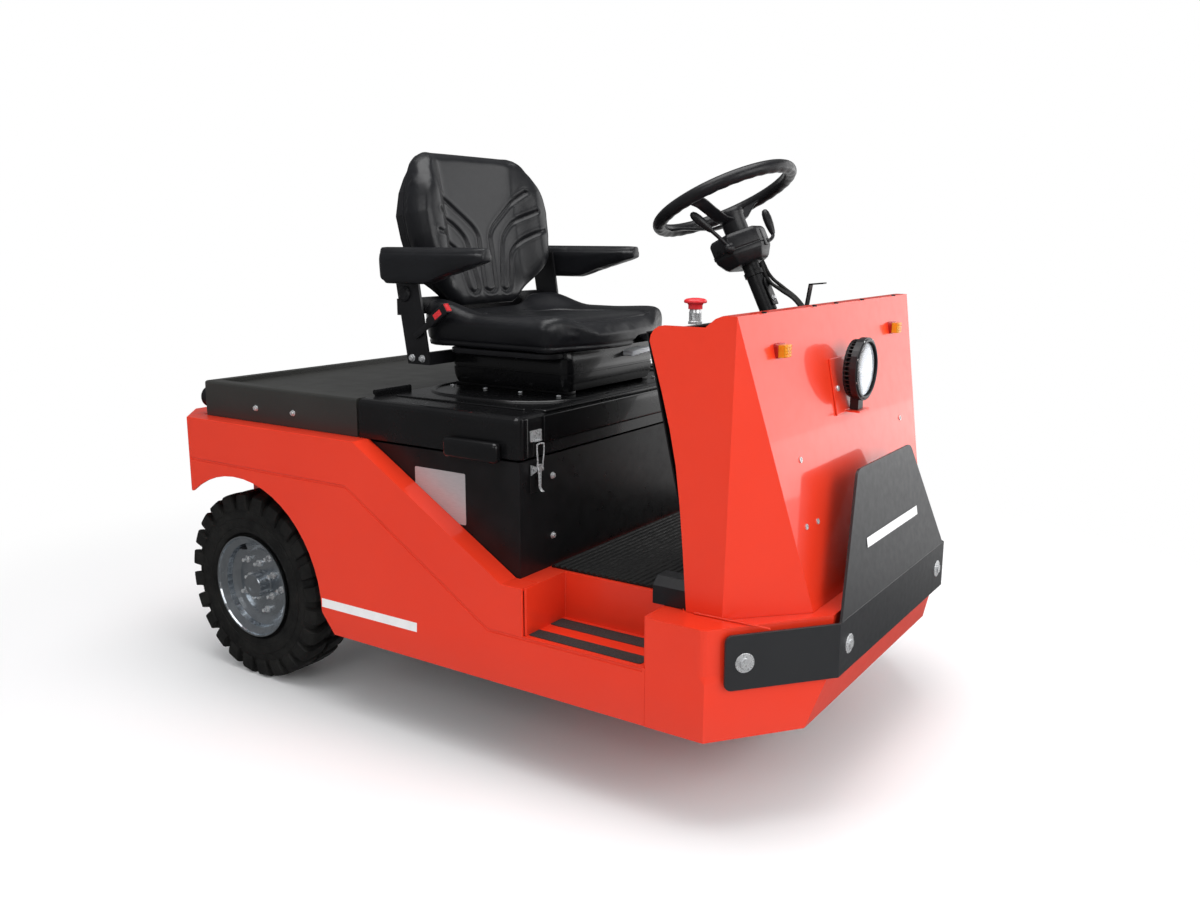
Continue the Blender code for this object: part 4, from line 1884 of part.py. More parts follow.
def make_toe_block(paint, datum):
    base = FLOOR_TOP + SEAM
    front = TOE_BLOCK_REAR_X + TOE_BLOCK_LENGTH
    outline = [
        (TOE_BLOCK_Y, base),
        (TOE_BLOCK_Y + TOE_BLOCK_WIDTH, base),
        (TOE_BLOCK_Y + TOE_BLOCK_WIDTH, base + TOE_BLOCK_HEIGHT),
        (TOE_BLOCK_Y + TOE_BLOCK_BEVEL, base + TOE_BLOCK_HEIGHT),
        (TOE_BLOCK_Y, base + TOE_BLOCK_HEIGHT - TOE_BLOCK_BEVEL),
    ]
    place("toe_block", prism(outline, "X", TOE_BLOCK_REAR_X, front), paint["black_plastic"], datum)


def main():
    clear_scene()
    paint = make_materials()
    datum = bpy.data.objects.new("rear_axle_datum", None)
    bpy.context.scene.collection.objects.link(datum)
    datum.location = (REAR_AXLE_X, 0, 0)
    bpy.context.view_layer.update()
    make_side_panels(paint, datum)
    make_nose(paint, datum)
    make_floor(paint, datum)
    make_mat(paint, datum)
    make_bumper(paint, datum)
    make_cowl(paint, datum)
    make_dash(paint, datum)
    make_headlight(paint, datum)
    make_amber_lamps(paint, datum)
    make_rear_deck(paint, datum)
    make_tail_lamps(paint, datum)
    make_battery_box(paint, datum)
    make_rear_panel(paint, datum)
    make_hitch(paint, datum)
    make_rear_frame(paint, datum)
    make_wheelhouses(paint, datum)
    make_rear_axle(paint, datum)
    make_rear_wheels(paint, datum)
    make_front_wheel(paint, datum)
    hinge = make_hood(paint, datum)
    make_latch(paint, datum)
    make_seat(paint, hinge)
    make_backrest(paint, hinge)
    make_armrests(paint, hinge, datum)
    make_seat_fittings(paint, hinge)
    make_steering(paint, datum)
    make_cable(paint, datum)
    make_stop_button(paint, datum)
    make_hand_lever(paint, datum)
    make_pedals(paint, datum)
    make_toe_block(paint, datum)


main()
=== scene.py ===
import math

import bmesh
import bpy
import numpy
from mathutils import Matrix, Vector


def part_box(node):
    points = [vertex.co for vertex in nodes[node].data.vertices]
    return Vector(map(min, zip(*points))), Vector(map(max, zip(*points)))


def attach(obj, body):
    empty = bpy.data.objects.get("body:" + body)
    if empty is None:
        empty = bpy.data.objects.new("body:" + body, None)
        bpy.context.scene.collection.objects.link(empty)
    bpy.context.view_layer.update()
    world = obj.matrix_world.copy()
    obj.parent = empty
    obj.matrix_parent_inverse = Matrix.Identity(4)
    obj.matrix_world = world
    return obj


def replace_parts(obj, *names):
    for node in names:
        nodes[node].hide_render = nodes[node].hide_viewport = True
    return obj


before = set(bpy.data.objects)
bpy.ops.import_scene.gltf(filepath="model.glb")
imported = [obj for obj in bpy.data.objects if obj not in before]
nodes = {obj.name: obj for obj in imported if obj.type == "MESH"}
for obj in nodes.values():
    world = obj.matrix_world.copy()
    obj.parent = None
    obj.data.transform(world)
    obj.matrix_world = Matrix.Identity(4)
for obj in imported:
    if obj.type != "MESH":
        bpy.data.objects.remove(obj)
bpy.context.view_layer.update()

# Lengths are in metres. Places along the tug are read forward from the rear axle, as a fitter would measure them.
wheelLow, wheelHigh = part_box("rear_tyre_right")
axleX = (wheelLow[0] + wheelHigh[0]) / 2
axleZ = (wheelLow[2] + wheelHigh[2]) / 2
sides = ((-1, "right"), (1, "left"))


def at(x, y, z):
    return Vector((axleX + x, y, z))


def middleOf(low, high):
    return Vector([(a + b) / 2 for a, b in zip(low, high)])


# Camera, floor and light
def addNode(tree, kind, values=(), **settings):
    # an input is given a value, or the socket that drives it
    node = tree.nodes.new("ShaderNode" + kind)
    for key, value in settings.items():
        setattr(node, key, value)
    for key, value in dict(values).items():
        if isinstance(value, bpy.types.NodeSocket):
            tree.links.new(value, node.inputs[key])
        else:
            node.inputs[key].default_value = value
    return node


def addCamera():
    look = {"place": (1.8695, -1.8711, 0.9638), "turn": 33.6537, "dip": 11.3861, "roll": 0.1808, "focal": 31.861}
    turn, dip, roll = (math.radians(look[key]) for key in ("turn", "dip", "roll"))
    ahead = Vector((-math.sin(turn) * math.cos(dip), math.cos(turn) * math.cos(dip), -math.sin(dip)))
    side = Vector((math.cos(turn), math.sin(turn), 0))
    up = side.cross(ahead)
    sideRolled = side * math.cos(roll) + up * math.sin(roll)
    upRolled = up * math.cos(roll) - side * math.sin(roll)
    bpy.ops.object.camera_add()
    camera = bpy.context.active_object
    camera.name = "photoCamera"
    turned = Matrix((sideRolled, upRolled, -ahead)).transposed().to_4x4()
    camera.matrix_world = Matrix.Translation(at(*look["place"])) @ turned
    camera.data.sensor_width = 36
    camera.data.lens = look["focal"]
    bpy.context.scene.camera = camera


def addWorld():
    # matt faces see a soft room, shiny ones a dimmer one, and the camera plain white
    light = {"colour": (0.97, 0.98, 1.0, 1), "strength": 0.6, "gloss": 0.15}
    world = bpy.data.worlds.new("studio")
    bpy.context.scene.world = world
    world.use_nodes = True
    tree = world.node_tree
    tree.nodes.clear()
    soft = addNode(tree, "Background", {"Color": light["colour"], "Strength": light["strength"]})
    mirrored = addNode(tree, "Background", {"Color": light["colour"], "Strength": light["gloss"]})
    seen = addNode(tree, "Background", {"Color": (1, 1, 1, 1), "Strength": 1})
    path = addNode(tree, "LightPath").outputs
    pick = addNode(tree, "MixShader", {0: path["Is Glossy Ray"], 1: soft.outputs[0], 2: mirrored.outputs[0]})
    through = addNode(
        tree, "Math", {0: path["Is Camera Ray"], 1: path["Is Transmission Ray"]}, operation="ADD", use_clamp=True
    )
    mix = addNode(tree, "MixShader", {0: through.outputs[0], 1: pick.outputs[0], 2: seen.outputs[0]})
    addNode(tree, "OutputWorld", {0: mix.outputs[0]})


def addFloor():
    look = {
        "size": 60, "drop": 0.0005, "colour": (0.93, 0.93, 0.93, 1), "fade": (1.05, 2.1),
        "shineAcross": (0.5, 2.4), "shine": (0.13, 0.9),
    }
    bpy.ops.mesh.primitive_plane_add(size=look["size"], location=(0, 0, -look["drop"]))
    floor = bpy.context.active_object
    floor.name = "studioFloor"
    bpy.ops.object.transform_apply(location=True)
    finish = bpy.data.materials.new("studioFloor")
    finish.use_nodes = True
    tree = finish.node_tree
    paint = tree.nodes["Principled BSDF"]
    for key, value in (("Base Color", look["colour"]), ("Roughness", 0.85), ("Specular IOR Level", 0.2)):
        paint.inputs[key].default_value = value
    place = addNode(tree, "TexCoord").outputs["Object"]
    path = addNode(tree, "LightPath").outputs
    # the camera sees the floor fade to white away from the vehicle
    length = addNode(tree, "VectorMath", {0: place}, operation="LENGTH")
    fade = addNode(tree, "MapRange", {
        "Value": length.outputs["Value"], "From Min": look["fade"][0], "From Max": look["fade"][1],
    }, interpolation_type="SMOOTHSTEP")
    seen = addNode(tree, "Math", {0: fade.outputs[0], 1: path["Is Camera Ray"]}, operation="MULTIPLY")
    white = addNode(tree, "Emission", {"Strength": 1})
    mix = addNode(tree, "MixShader", {0: seen.outputs[0], 1: paint.outputs[0], 2: white.outputs[0]})
    # what shines in the paint: a dim floor beside the vehicle, a bright one on its far side
    split = addNode(tree, "SeparateXYZ", {0: place})
    across = addNode(tree, "MapRange", {
        "Value": split.outputs["Y"], "From Min": look["shineAcross"][0], "From Max": look["shineAcross"][1],
        "To Min": look["shine"][0], "To Max": look["shine"][1],
    }, interpolation_type="SMOOTHSTEP")
    shine = addNode(tree, "Emission", {"Strength": across.outputs[0]})
    final = addNode(tree, "MixShader", {0: path["Is Glossy Ray"], 1: mix.outputs[0], 2: shine.outputs[0]})
    tree.links.new(final.outputs[0], tree.nodes["Material Output"].inputs[0])
    floor.data.materials.append(finish)


def addLamp(name, place, target, width, height, power):
    bpy.ops.object.light_add(type="AREA", location=place)
    lamp = bpy.context.active_object
    lamp.name = name
    lamp.data.shape = "RECTANGLE"
    lamp.data.size = width
    lamp.data.size_y = height
    lamp.data.energy = power
    lamp.rotation_euler = (Vector(target) - Vector(place)).to_track_quat("-Z", "Y").to_euler()


bpy.context.scene.view_settings.view_transform = "Standard"
addCamera()
addWorld()
addFloor()
addLamp("overheadBox", (0.2, -0.3, 3.2), (0, 0, 0.4), 2.6, 2.2, 62)
addLamp("sideBox", (0.9, -3.6, 2.4), (0, 0, 0.5), 1.8, 1.2, 17)
addLamp("frontBox", (3.1, -0.5, 1.5), (0.4, 0, 0.5), 2.4, 1.7, 34)
addLamp("farBox", (2.0, 3.2, 1.5), (0.6, 0, 0.5), 4.0, 2.6, 48)
print("stage ready")


# Finishes: every pattern is read on Object coordinates
def objectPlace(tree, stretch=(1, 1, 1)):
    coords = addNode(tree, "TexCoord")
    return addNode(tree, "Mapping", {"Vector": coords.outputs["Object"], "Scale": stretch}).outputs["Vector"]


def noiseOn(tree, scale, detail, stretch=(1, 1, 1)):
    place = objectPlace(tree, stretch)
    values = {"Vector": place, "Scale": scale, "Detail": detail, "Roughness": 0.55}
    return addNode(tree, "TexNoise", values).outputs["Fac"]


def cellsOn(tree, scale, feature="F1", output="Distance"):
    return addNode(tree, "TexVoronoi", {"Vector": objectPlace(tree), "Scale": scale}, feature=feature).outputs[output]


def spreadTo(tree, value, low, high, fromLow=0.3, fromHigh=0.7):
    values = {"Value": value, "From Min": fromLow, "From Max": fromHigh, "To Min": low, "To Max": high}
    return addNode(tree, "MapRange", values).outputs[0]


def mixColours(tree, value, first, second, fromLow=0.3, fromHigh=0.7):
    # first and second are colours or sockets
    node = addNode(tree, "Mix", data_type="RGBA")
    tree.links.new(spreadTo(tree, value, 0, 1, fromLow, fromHigh), node.inputs["Factor"])
    for key, colour in (("A", first), ("B", second)):
        socket = [entry for entry in node.inputs if entry.name == key and entry.type == "RGBA"][0]
        if isinstance(colour, tuple):
            socket.default_value = (*colour, 1)
        else:
            tree.links.new(colour, socket)
    return [entry for entry in node.outputs if entry.type == "RGBA"][0]


def addBump(tree, height, strength, distance):
    # bumps stack: each new one takes the one before as its normal
    normal = tree.nodes["Principled BSDF"].inputs["Normal"]
    bump = addNode(tree, "Bump", {"Strength": strength, "Distance": distance, "Height": height})
    if normal.links:
        tree.links.new(normal.links[0].from_socket, bump.inputs["Normal"])
    tree.links.new(bump.outputs[0], normal)


# slot: name, colour, roughness and other inputs, then three patterns. The tint is (noise scale, detail, dark, light),
# the sheen (noise scale, detail, smoothest, roughest), and each bump (scale, detail or kind of cells, strength, depth).
finishTable = {
    "body_red": (
        "vermilionPaint", (0.80, 0.040, 0.014), 0.30, {"Coat Weight": 0.5, "Specular IOR Level": 0.3},
        (2.2, 3, (0.83, 0.044, 0.015), (0.78, 0.037, 0.012)), (38, 5, 0.29, 0.36),
        [(1500, 1, 0.02, 0.0002), (4, 1, 0.04, 0.002)],  # orange peel, and sheet that isn't quite flat
    ),
    "black_steel": (
        "blackPowderCoat", (0.008, 0.008, 0.009), 0.34, {"Specular IOR Level": 0.3},
        (14, 6, (0.006, 0.006, 0.0065), (0.011, 0.011, 0.012)), (55, 5, 0.27, 0.42), [(900, 3, 0.16, 0.0004)],
    ),
    "shield": (
        "darkGreySatin", (0.022, 0.023, 0.025), 0.36, {"Specular IOR Level": 0.45},
        (5, 3, (0.021, 0.022, 0.024), (0.024, 0.025, 0.027)), (70, 5, 0.33, 0.42), [(1600, 2, 0.03, 0.0002)],
    ),
    "black_plastic": (
        "blackMouldedPlastic", (0.010, 0.010, 0.012), 0.34, {"Specular IOR Level": 0.4},
        (20, 5, (0.008, 0.008, 0.009), (0.013, 0.013, 0.015)), (90, 4, 0.28, 0.42), [(700, "F1", 0.18, 0.0005)],
    ),
    "hood": (
        "glossyBlackHood", (0.005, 0.005, 0.0055), 0.22,
        {"Coat Weight": 0.25, "Coat Roughness": 0.06, "Specular IOR Level": 0.35},
        (6, 4, (0.004, 0.004, 0.0045), (0.006, 0.006, 0.0066)), (14, 4, 0.22, 0.3), [(1100, 2, 0.08, 0.0003)],
    ),
    "deck": (
        "satinBlackDeck", (0.032, 0.032, 0.030), 0.36, {},
        (5, 4, (0.029, 0.029, 0.027), (0.036, 0.036, 0.033)), (18, 4, 0.3, 0.4), [(900, 2, 0.08, 0.0003)],
    ),
    "black_vinyl": (
        "grainedVinyl", (0.008, 0.0083, 0.010), 0.34, {"Specular IOR Level": 0.45},
        (11, 4, (0.0065, 0.0068, 0.0085), (0.0095, 0.010, 0.012)), (120, 4, 0.31, 0.40),
        [(620, "DISTANCE_TO_EDGE", 0.14, 0.0004), (240, 4, 0.08, 0.0005)],  # fine leather grain over a softer one
    ),
    "tyre": (
        "tyreRubber", (0.008, 0.008, 0.008), 0.55, {"Specular IOR Level": 0.3},
        (26, 6, (0.006, 0.006, 0.006), (0.015, 0.0145, 0.013)), (60, 5, 0.48, 0.78),
        [(420, 5, 0.3, 0.0008), (60, 3, 0.15, 0.0015)],
    ),
    "rubber": (
        "ribbedMatRubber", (0.006, 0.006, 0.006), 0.5, {"Specular IOR Level": 0.35},
        (9, 6, (0.005, 0.005, 0.005), (0.012, 0.0115, 0.0105)), (80, 4, 0.45, 0.7), [(700, 3, 0.25, 0.0006)],
    ),
    "zinc": (
        "spangledZinc", (0.58, 0.62, 0.66), 0.24, {"Metallic": 1.0},
        (60, "spangles", (0.55, 0.59, 0.63), (0.62, 0.66, 0.70)), (34, 4, 0.20, 0.28), [(160, 3, 0.04, 0.0004)],
    ),
    "bolt": (
        "platedBolt", (0.72, 0.73, 0.74), 0.3, {"Metallic": 0.65},
        (190, 4, (0.62, 0.63, 0.64), (0.80, 0.81, 0.82)), (260, 3, 0.2, 0.42), [(900, 2, 0.12, 0.0003)],
    ),
    "cast_grey": (
        "castGrey", (0.05, 0.05, 0.055), 0.6, {"Metallic": 0.3},
        (40, 6, (0.035, 0.035, 0.038), (0.075, 0.073, 0.07)), (90, 4, 0.5, 0.75), [(300, 5, 0.4, 0.001)],
    ),
    "battery_grey": (
        "batteryCase", (0.06, 0.065, 0.07), 0.55, {},
        (12, 5, (0.045, 0.05, 0.055), (0.075, 0.08, 0.085)), (70, 4, 0.45, 0.65), [(500, 3, 0.2, 0.0005)],
    ),
    "clear_lens": (
        "clearLens", (0.95, 0.97, 1.0), 0.06, {"Transmission Weight": 0.97, "IOR": 1.47},
        None, (150, 3, 0.03, 0.1), [(190, "F1", 0.05, 0.0006)],
    ),
    "reflector": (
        "lampReflector", (0.92, 0.94, 0.97), 0.2, {"Metallic": 0.25},
        None, (200, 3, 0.06, 0.2), [(130, "F1", 0.12, 0.0006)],
    ),
    "amber_lens": (
        "amberLens", (1.0, 0.36, 0.015), 0.12, {"Transmission Weight": 0.35, "IOR": 1.49},
        (110, 3, (1.0, 0.30, 0.010), (1.0, 0.48, 0.03)), (240, 3, 0.08, 0.2), [(330, "F1", 0.3, 0.001)],
    ),
    "red_lens": (
        "redLens", (0.52, 0.012, 0.012), 0.12, {"Transmission Weight": 0.3},
        (120, 3, (0.44, 0.008, 0.008), (0.6, 0.02, 0.016)), (240, 3, 0.08, 0.2), [(360, "F1", 0.3, 0.001)],
    ),
    "stop_red": (
        "stopRedPlastic", (0.80, 0.028, 0.035), 0.3, {},
        (60, 4, (0.84, 0.035, 0.045), (0.72, 0.022, 0.028)), (200, 3, 0.24, 0.4), [(800, 2, 0.1, 0.0003)],
    ),
    "pale_grey": (
        "paleGreyPlastic", (0.78, 0.79, 0.82), 0.34, {},
        (50, 4, (0.74, 0.75, 0.78), (0.82, 0.83, 0.86)), (160, 3, 0.3, 0.45), [(700, 2, 0.12, 0.0004)],
    ),
    "plate": (
        "brushedPlate", (0.52, 0.50, 0.51), 0.36, {"Metallic": 0.35},
        (60, "brushed", (0.46, 0.44, 0.45), (0.56, 0.54, 0.55)), (90, 4, 0.3, 0.46), [(60, "brushed", 0.06, 0.0003)],
    ),
    "plain_white": (
        "whiteFilm", (0.86, 0.86, 0.86), 0.35, {},
        (30, 4, (0.82, 0.82, 0.82), (0.88, 0.88, 0.88)), (90, 4, 0.3, 0.42), [(700, 2, 0.04, 0.0002)],
    ),
    "grit": (
        "gritStrip", (0.012, 0.012, 0.012), 0.8, {},
        (500, 4, (0.008, 0.008, 0.008), (0.045, 0.044, 0.042)), (300, 4, 0.65, 0.9), [(900, 4, 0.7, 0.0012)],
    ),
}
# painted reflection: a darker red for the body low down, standing in for the floor's reflection in the glossy paint
lowFloorReflectionPaint = {"colour": (0.72, 0.044, 0.020), "from": 0.14, "to": 0.24}


def patternOn(tree, scale, detail):
    if detail == "spangles":
        return cellsOn(tree, scale, output="Color")
    if detail == "brushed":
        return noiseOn(tree, scale, 3, (1, 1, 30))
    return cellsOn(tree, scale, detail) if isinstance(detail, str) else noiseOn(tree, scale, detail)


def makeFinish(name, colour, roughness, inputs, tint, sheen, bumps):
    finish = bpy.data.materials.new(name)
    finish.use_nodes = True
    finish.diffuse_color = (*colour, 1)
    tree = finish.node_tree
    shader = tree.nodes["Principled BSDF"]
    basic = {"Base Color": (*colour, 1), "Roughness": roughness, "Coat Roughness": 0.05}
    for key, value in {**basic, **inputs}.items():
        shader.inputs[key].default_value = value
    if tint:
        tinted = mixColours(tree, patternOn(tree, *tint[:2]), *tint[2:])
        if name == "vermilionPaint":  # painted reflection of the floor: the paint is painted darker low down
            height = addNode(tree, "SeparateXYZ", {0: objectPlace(tree)}).outputs["Z"]
            tinted = mixColours(tree, height, lowFloorReflectionPaint["colour"], tinted, lowFloorReflectionPaint["from"], lowFloorReflectionPaint["to"])
        tree.links.new(tinted, shader.inputs["Base Color"])
    tree.links.new(spreadTo(tree, patternOn(tree, *sheen[:2]), *sheen[2:]), shader.inputs["Roughness"])
    for scale, detail, strength, distance in bumps:
        addBump(tree, patternOn(tree, scale, detail), strength, distance)
    return finish


finishes = {slot: makeFinish(*row) for slot, row in finishTable.items()}
print("finishes ready:", len(finishes))


# Modelling steps that many pieces share
def clearSelection():
    if bpy.context.mode != "OBJECT":
        bpy.ops.object.mode_set(mode="OBJECT")
    bpy.ops.object.select_all(action="DESELECT")


def takeUp(piece):
    clearSelection()
    piece.select_set(True)
    bpy.context.view_layer.objects.active = piece


def openMesh(piece, kind="FACE"):
    takeUp(piece)
    bpy.ops.object.mode_set(mode="EDIT")
    bpy.ops.mesh.select_mode(type=kind)
    bpy.ops.mesh.select_all(action="DESELECT")


def closeMesh():
    bpy.ops.object.mode_set(mode="OBJECT")


def selectAll():
    bpy.ops.mesh.select_all(action="SELECT")


def closeOutward():
    # turns every face outward, and leaves the mesh
    selectAll()
    bpy.ops.mesh.normals_make_consistent(inside=False)
    closeMesh()


def drawOut(shift):
    bpy.ops.mesh.extrude_region_move(TRANSFORM_OT_translate={"value": Vector(shift)})


def pick(piece, kind, chosen):
    mesh = bmesh.from_edit_mesh(piece.data)
    for item in getattr(mesh, kind):
        item.select_set(bool(chosen(item)))
    mesh.select_flush_mode()
    bmesh.update_edit_mesh(piece.data)


def roundEdges(piece, width, segments=2, angle=30, chosen=None):
    openMesh(piece, "EDGE")
    limit = math.radians(angle)
    pick(piece, "edges", lambda edge: edge.calc_face_angle(0) > limit and (chosen is None or chosen(edge)))
    bpy.ops.mesh.bevel(offset=width, segments=segments, affect="EDGES", profile=0.5)
    closeMesh()


def edgeAlong(axis, least):
    # picks the edges that run along an axis, by how far their ends lie apart on it
    return lambda edge: abs(edge.verts[0].co[axis] - edge.verts[1].co[axis]) > least


def finishPiece(piece, name, finish, body, smooth=32):
    takeUp(piece)
    bpy.ops.object.transform_apply(location=True, rotation=True, scale=True)
    piece.name = name
    piece.data.name = name
    piece.data.materials.clear()
    piece.data.materials.append(finishes[finish])
    bpy.ops.object.shade_smooth_by_angle(angle=math.radians(smooth))
    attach(piece, body)
    return piece


def applyAll(piece):
    takeUp(piece)
    for modifier in list(piece.modifiers):
        bpy.ops.object.modifier_apply(modifier=modifier.name)


def addBlock(low, high):
    size = [b - a for a, b in zip(low, high)]
    clearSelection()
    bpy.ops.mesh.primitive_cube_add(size=1, location=middleOf(low, high), scale=size)
    piece = bpy.context.active_object
    bpy.ops.object.transform_apply(location=True, rotation=True, scale=True)
    return piece


def softBlock(low, high, width, segments=2, angle=30, chosen=None):
    piece = addBlock(low, high)
    roundEdges(piece, width, segments, angle, chosen)
    return piece


def drawChain(points):
    # a chain of edges, grown from one loose vertex and left open for editing
    points = [Vector(point) for point in points]
    clearSelection()
    bpy.ops.mesh.primitive_plane_add(size=0.01, location=(0, 0, 0))
    piece = bpy.context.active_object
    bpy.ops.object.mode_set(mode="EDIT")
    bpy.ops.mesh.select_mode(type="VERT")
    selectAll()
    bpy.ops.mesh.merge(type="CENTER")
    selectAll()
    bpy.ops.transform.translate(value=points[0])
    for before, after in zip(points, points[1:]):
        bpy.ops.mesh.extrude_vertices_move(TRANSFORM_OT_translate={"value": after - before})
    return piece


def turnProfile(points, centre, axis, steps):
    piece = drawChain(points)
    selectAll()
    bpy.ops.mesh.spin(steps=steps, angle=math.tau, center=centre, axis=axis)
    selectAll()
    bpy.ops.mesh.remove_doubles(threshold=0.00002)
    closeOutward()
    return piece


def turnUpright(profile, steps):
    # (radius, height) pairs turned round +Z
    return turnProfile([(radius, 0, height) for radius, height in profile], (0, 0, 0), (0, 0, 1), steps)


def drawPlate(points, depth):
    # a closed outline, filled, and drawn out by a vector
    piece = drawChain(points)
    selectAll()
    bpy.ops.mesh.edge_face_add()
    selectAll()
    drawOut(depth)
    closeOutward()
    return piece


def stackLevels(ring, levels, base=0.0):
    # a solid drawn from a flat ring and a list of (height, size) steps
    piece = drawChain([(x * levels[0][1], y * levels[0][1], base + levels[0][0]) for x, y in ring])
    selectAll()
    bpy.ops.mesh.edge_face_add()
    for before, after in zip(levels, levels[1:]):
        share = after[1] / before[1]
        drawOut((0, 0, after[0] - before[0]))
        bpy.ops.transform.resize(value=(share, share, 1), center_override=(0, 0, base + after[0]))
    closeOutward()
    return piece


def roundedRing(halfX, halfY, radius, steps=5):
    ring = []
    for signX, signY, start in ((1, 1, 0), (-1, 1, 90), (-1, -1, 180), (1, -1, 270)):
        for step in range(steps + 1):
            angle = math.radians(start + 90 * step / steps)
            x = signX * (halfX - radius) + radius * math.cos(angle)
            ring.append((x, signY * (halfY - radius) + radius * math.sin(angle)))
    return ring


def joinPieces(pieces):
    takeUp(pieces[0])
    for piece in pieces[1:]:
        piece.select_set(True)
    if len(pieces) > 1:
        bpy.ops.object.join()
    return bpy.context.active_object


def copyPiece(piece):
    extra = piece.copy()
    extra.data = piece.data.copy()
    bpy.context.scene.collection.objects.link(extra)
    return extra


def repeatPiece(piece, places):
    copies = []
    for place in places:
        copies.append(copyPiece(piece))
        copies[-1].data.transform(place)
    bpy.data.objects.remove(piece, do_unlink=True)
    return joinPieces(copies)


def facing(place, normal, spin=0.0):
    # puts a piece modelled on +Z at a place, facing along a normal
    turn = Vector(normal).normalized().to_track_quat("Z", "Y").to_matrix().to_4x4()
    return Matrix.Translation(Vector(place)) @ turn @ Matrix.Rotation(spin, 4, "Z")


def tube(points, radius, resolution=4, cyclic=False, steps=6):
    clearSelection()
    bpy.ops.curve.primitive_bezier_curve_add()
    curve = bpy.context.active_object
    curve.data.splines.clear()
    spline = curve.data.splines.new("BEZIER")
    spline.bezier_points.add(len(points) - 1)
    for knot, point in zip(spline.bezier_points, points):
        knot.co = point
        knot.handle_left_type = knot.handle_right_type = "AUTO"
    spline.use_cyclic_u = cyclic
    spline.resolution_u = steps
    curve.data.dimensions = "3D"
    curve.data.bevel_depth = radius
    curve.data.bevel_resolution = resolution
    curve.data.use_fill_caps = True
    bpy.ops.object.convert(target="MESH")
    return bpy.context.active_object


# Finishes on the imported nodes
def dressNodes():
    special = {
        "hood": "hood", "rear_deck": "deck", "bumper_shield": "shield", "front_tyre": "tyre",
        "rear_tyre_right": "tyre", "rear_tyre_left": "tyre",
    }
    for name, node in nodes.items():
        slotName = node.data.materials[0].name.split(".")[0]
        finish = finishes[special.get(name, slotName)]
        node.data.materials.clear()
        node.data.materials.append(finish)


def softenNodes():
    # sheet folds and moulded corners catch a thin line of light
    folds = {
        "side_panel_right": 0.0022, "side_panel_left": 0.0022, "nose": 0.002, "cowl": 0.0016,
        "rear_panel": 0.002, "bumper_shield": 0.0012, "battery_box": 0.001, "tow_hitch": 0.0015,
        "floor": 0.0012, "dash": 0.001, "headlight_bracket": 0.0008, "seat_base": 0.001,
        "seat_frame": 0.0015, "front_fork": 0.002, "rear_frame": 0.0015, "toe_block": 0.001,
    }
    for name, width in folds.items():
        weld = nodes[name].modifiers.new("weld", "WELD")
        weld.merge_threshold = 0.00002
        bevel = nodes[name].modifiers.new("fold", "BEVEL")
        bevel.width = width
        bevel.segments = 2
        bevel.limit_method = "ANGLE"
        bevel.angle_limit = math.radians(28)
        bevel.harden_normals = False


dressNodes()
softenNodes()
print("packed nodes dressed")


# Rear tyres: block lugs stand on both shoulders, half a pitch apart
def makeRearTyre(word, side):
    look = {
        "lugs": 24,
        "columns": [-0.03, 0.0, 0.02, 0.08, 0.2, 0.32, 0.45, 0.6, 0.62, 0.65, 0.73, 0.8, 0.87, 0.93],
        "raised": [0, 0.85, 1, 1, 1, 1, 1, 1, 0.85, 0, 0, 0, 0, 0],
        "slant": 0.42, "slantReach": 0.05,
    }
    middle = middleOf(*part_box(f"rear_tyre_{word}")).y
    # (distance from the middle plane, radius): the bead and the plain side wall
    wall = [
        (0.0450, 0.1010), (0.0452, 0.1150), (0.0480, 0.1182), (0.0520, 0.1200), (0.0540, 0.1240), (0.0550, 0.1300),
        (0.0550, 0.1330), (0.0562, 0.1342), (0.0566, 0.1400), (0.0566, 0.1480), (0.0562, 0.1520), (0.0548, 0.1530),
        (0.0545, 0.1580), (0.0535, 0.1640),
    ]
    # the same, with how far a lug rises and how far it stands out sideways
    shoulder = [
        (0.0520, 0.1690, 0, 0.0010), (0.0505, 0.1715, 0.0005, 0.0052), (0.0495, 0.1770, 0.0010, 0.0068),
        (0.0475, 0.1850, 0.0030, 0.0085), (0.0450, 0.1890, 0.0090, 0.0098), (0.0430, 0.1915, 0.0125, 0.0090),
        (0.0405, 0.1930, 0.0140, 0.0055), (0.0350, 0.1938, 0.0137, 0), (0.0280, 0.1942, 0.0133, 0),
        (0.0200, 0.1945, 0.0130, 0), (0.0120, 0.1946, 0.0129, 0), (0.0075, 0.1947, 0.0128, 0),
        (0.0058, 0.1947, 0.0120, 0), (0.0046, 0.1947, 0, 0), (0.0020, 0.1947, 0, 0),
    ]
    section = [(*row, 0, 0) for row in wall] + shoulder
    rows = [(1, *row) for row in section] + [(-1, *row) for row in section[::-1]]
    rows.append((1, *section[0]))
    count = len(look["columns"])
    across = look["lugs"] * count
    clearSelection()
    bpy.ops.mesh.primitive_grid_add(x_subdivisions=across, y_subdivisions=len(rows) - 1, size=1)
    tyre = bpy.context.active_object
    for index, vertex in enumerate(tyre.data.vertices):
        row, column = divmod(index, across + 1)
        face, offset, radius, rise, proud = rows[row]
        turns, place = divmod(column if face > 0 else column + count // 2, count)
        share = turns + look["columns"][place] - (0 if face > 0 else 0.5)
        raised = look["raised"][place]
        slant = look["slant"] * max(0.0, 1 - offset / look["slantReach"]) * face
        angle = math.tau * (share + slant) / look["lugs"]
        reach = radius + rise * raised
        along = middle + side * face * (offset + proud * raised)
        vertex.co = Vector((axleX + reach * math.cos(angle), along, axleZ + reach * math.sin(angle)))
    openMesh(tyre, "VERT")
    selectAll()
    bpy.ops.mesh.remove_doubles(threshold=0.00003)
    closeOutward()
    finishPiece(tyre, f"tyre_tread_{word}", "tyre", f"rear_wheel_{word}", 38)
    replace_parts(tyre, f"rear_tyre_{word}")


def addDisc(radius, depth, corners=32):
    clearSelection()
    bpy.ops.mesh.primitive_cylinder_add(vertices=corners, radius=radius, depth=depth, location=(0, 0, depth / 2))
    return bpy.context.active_object


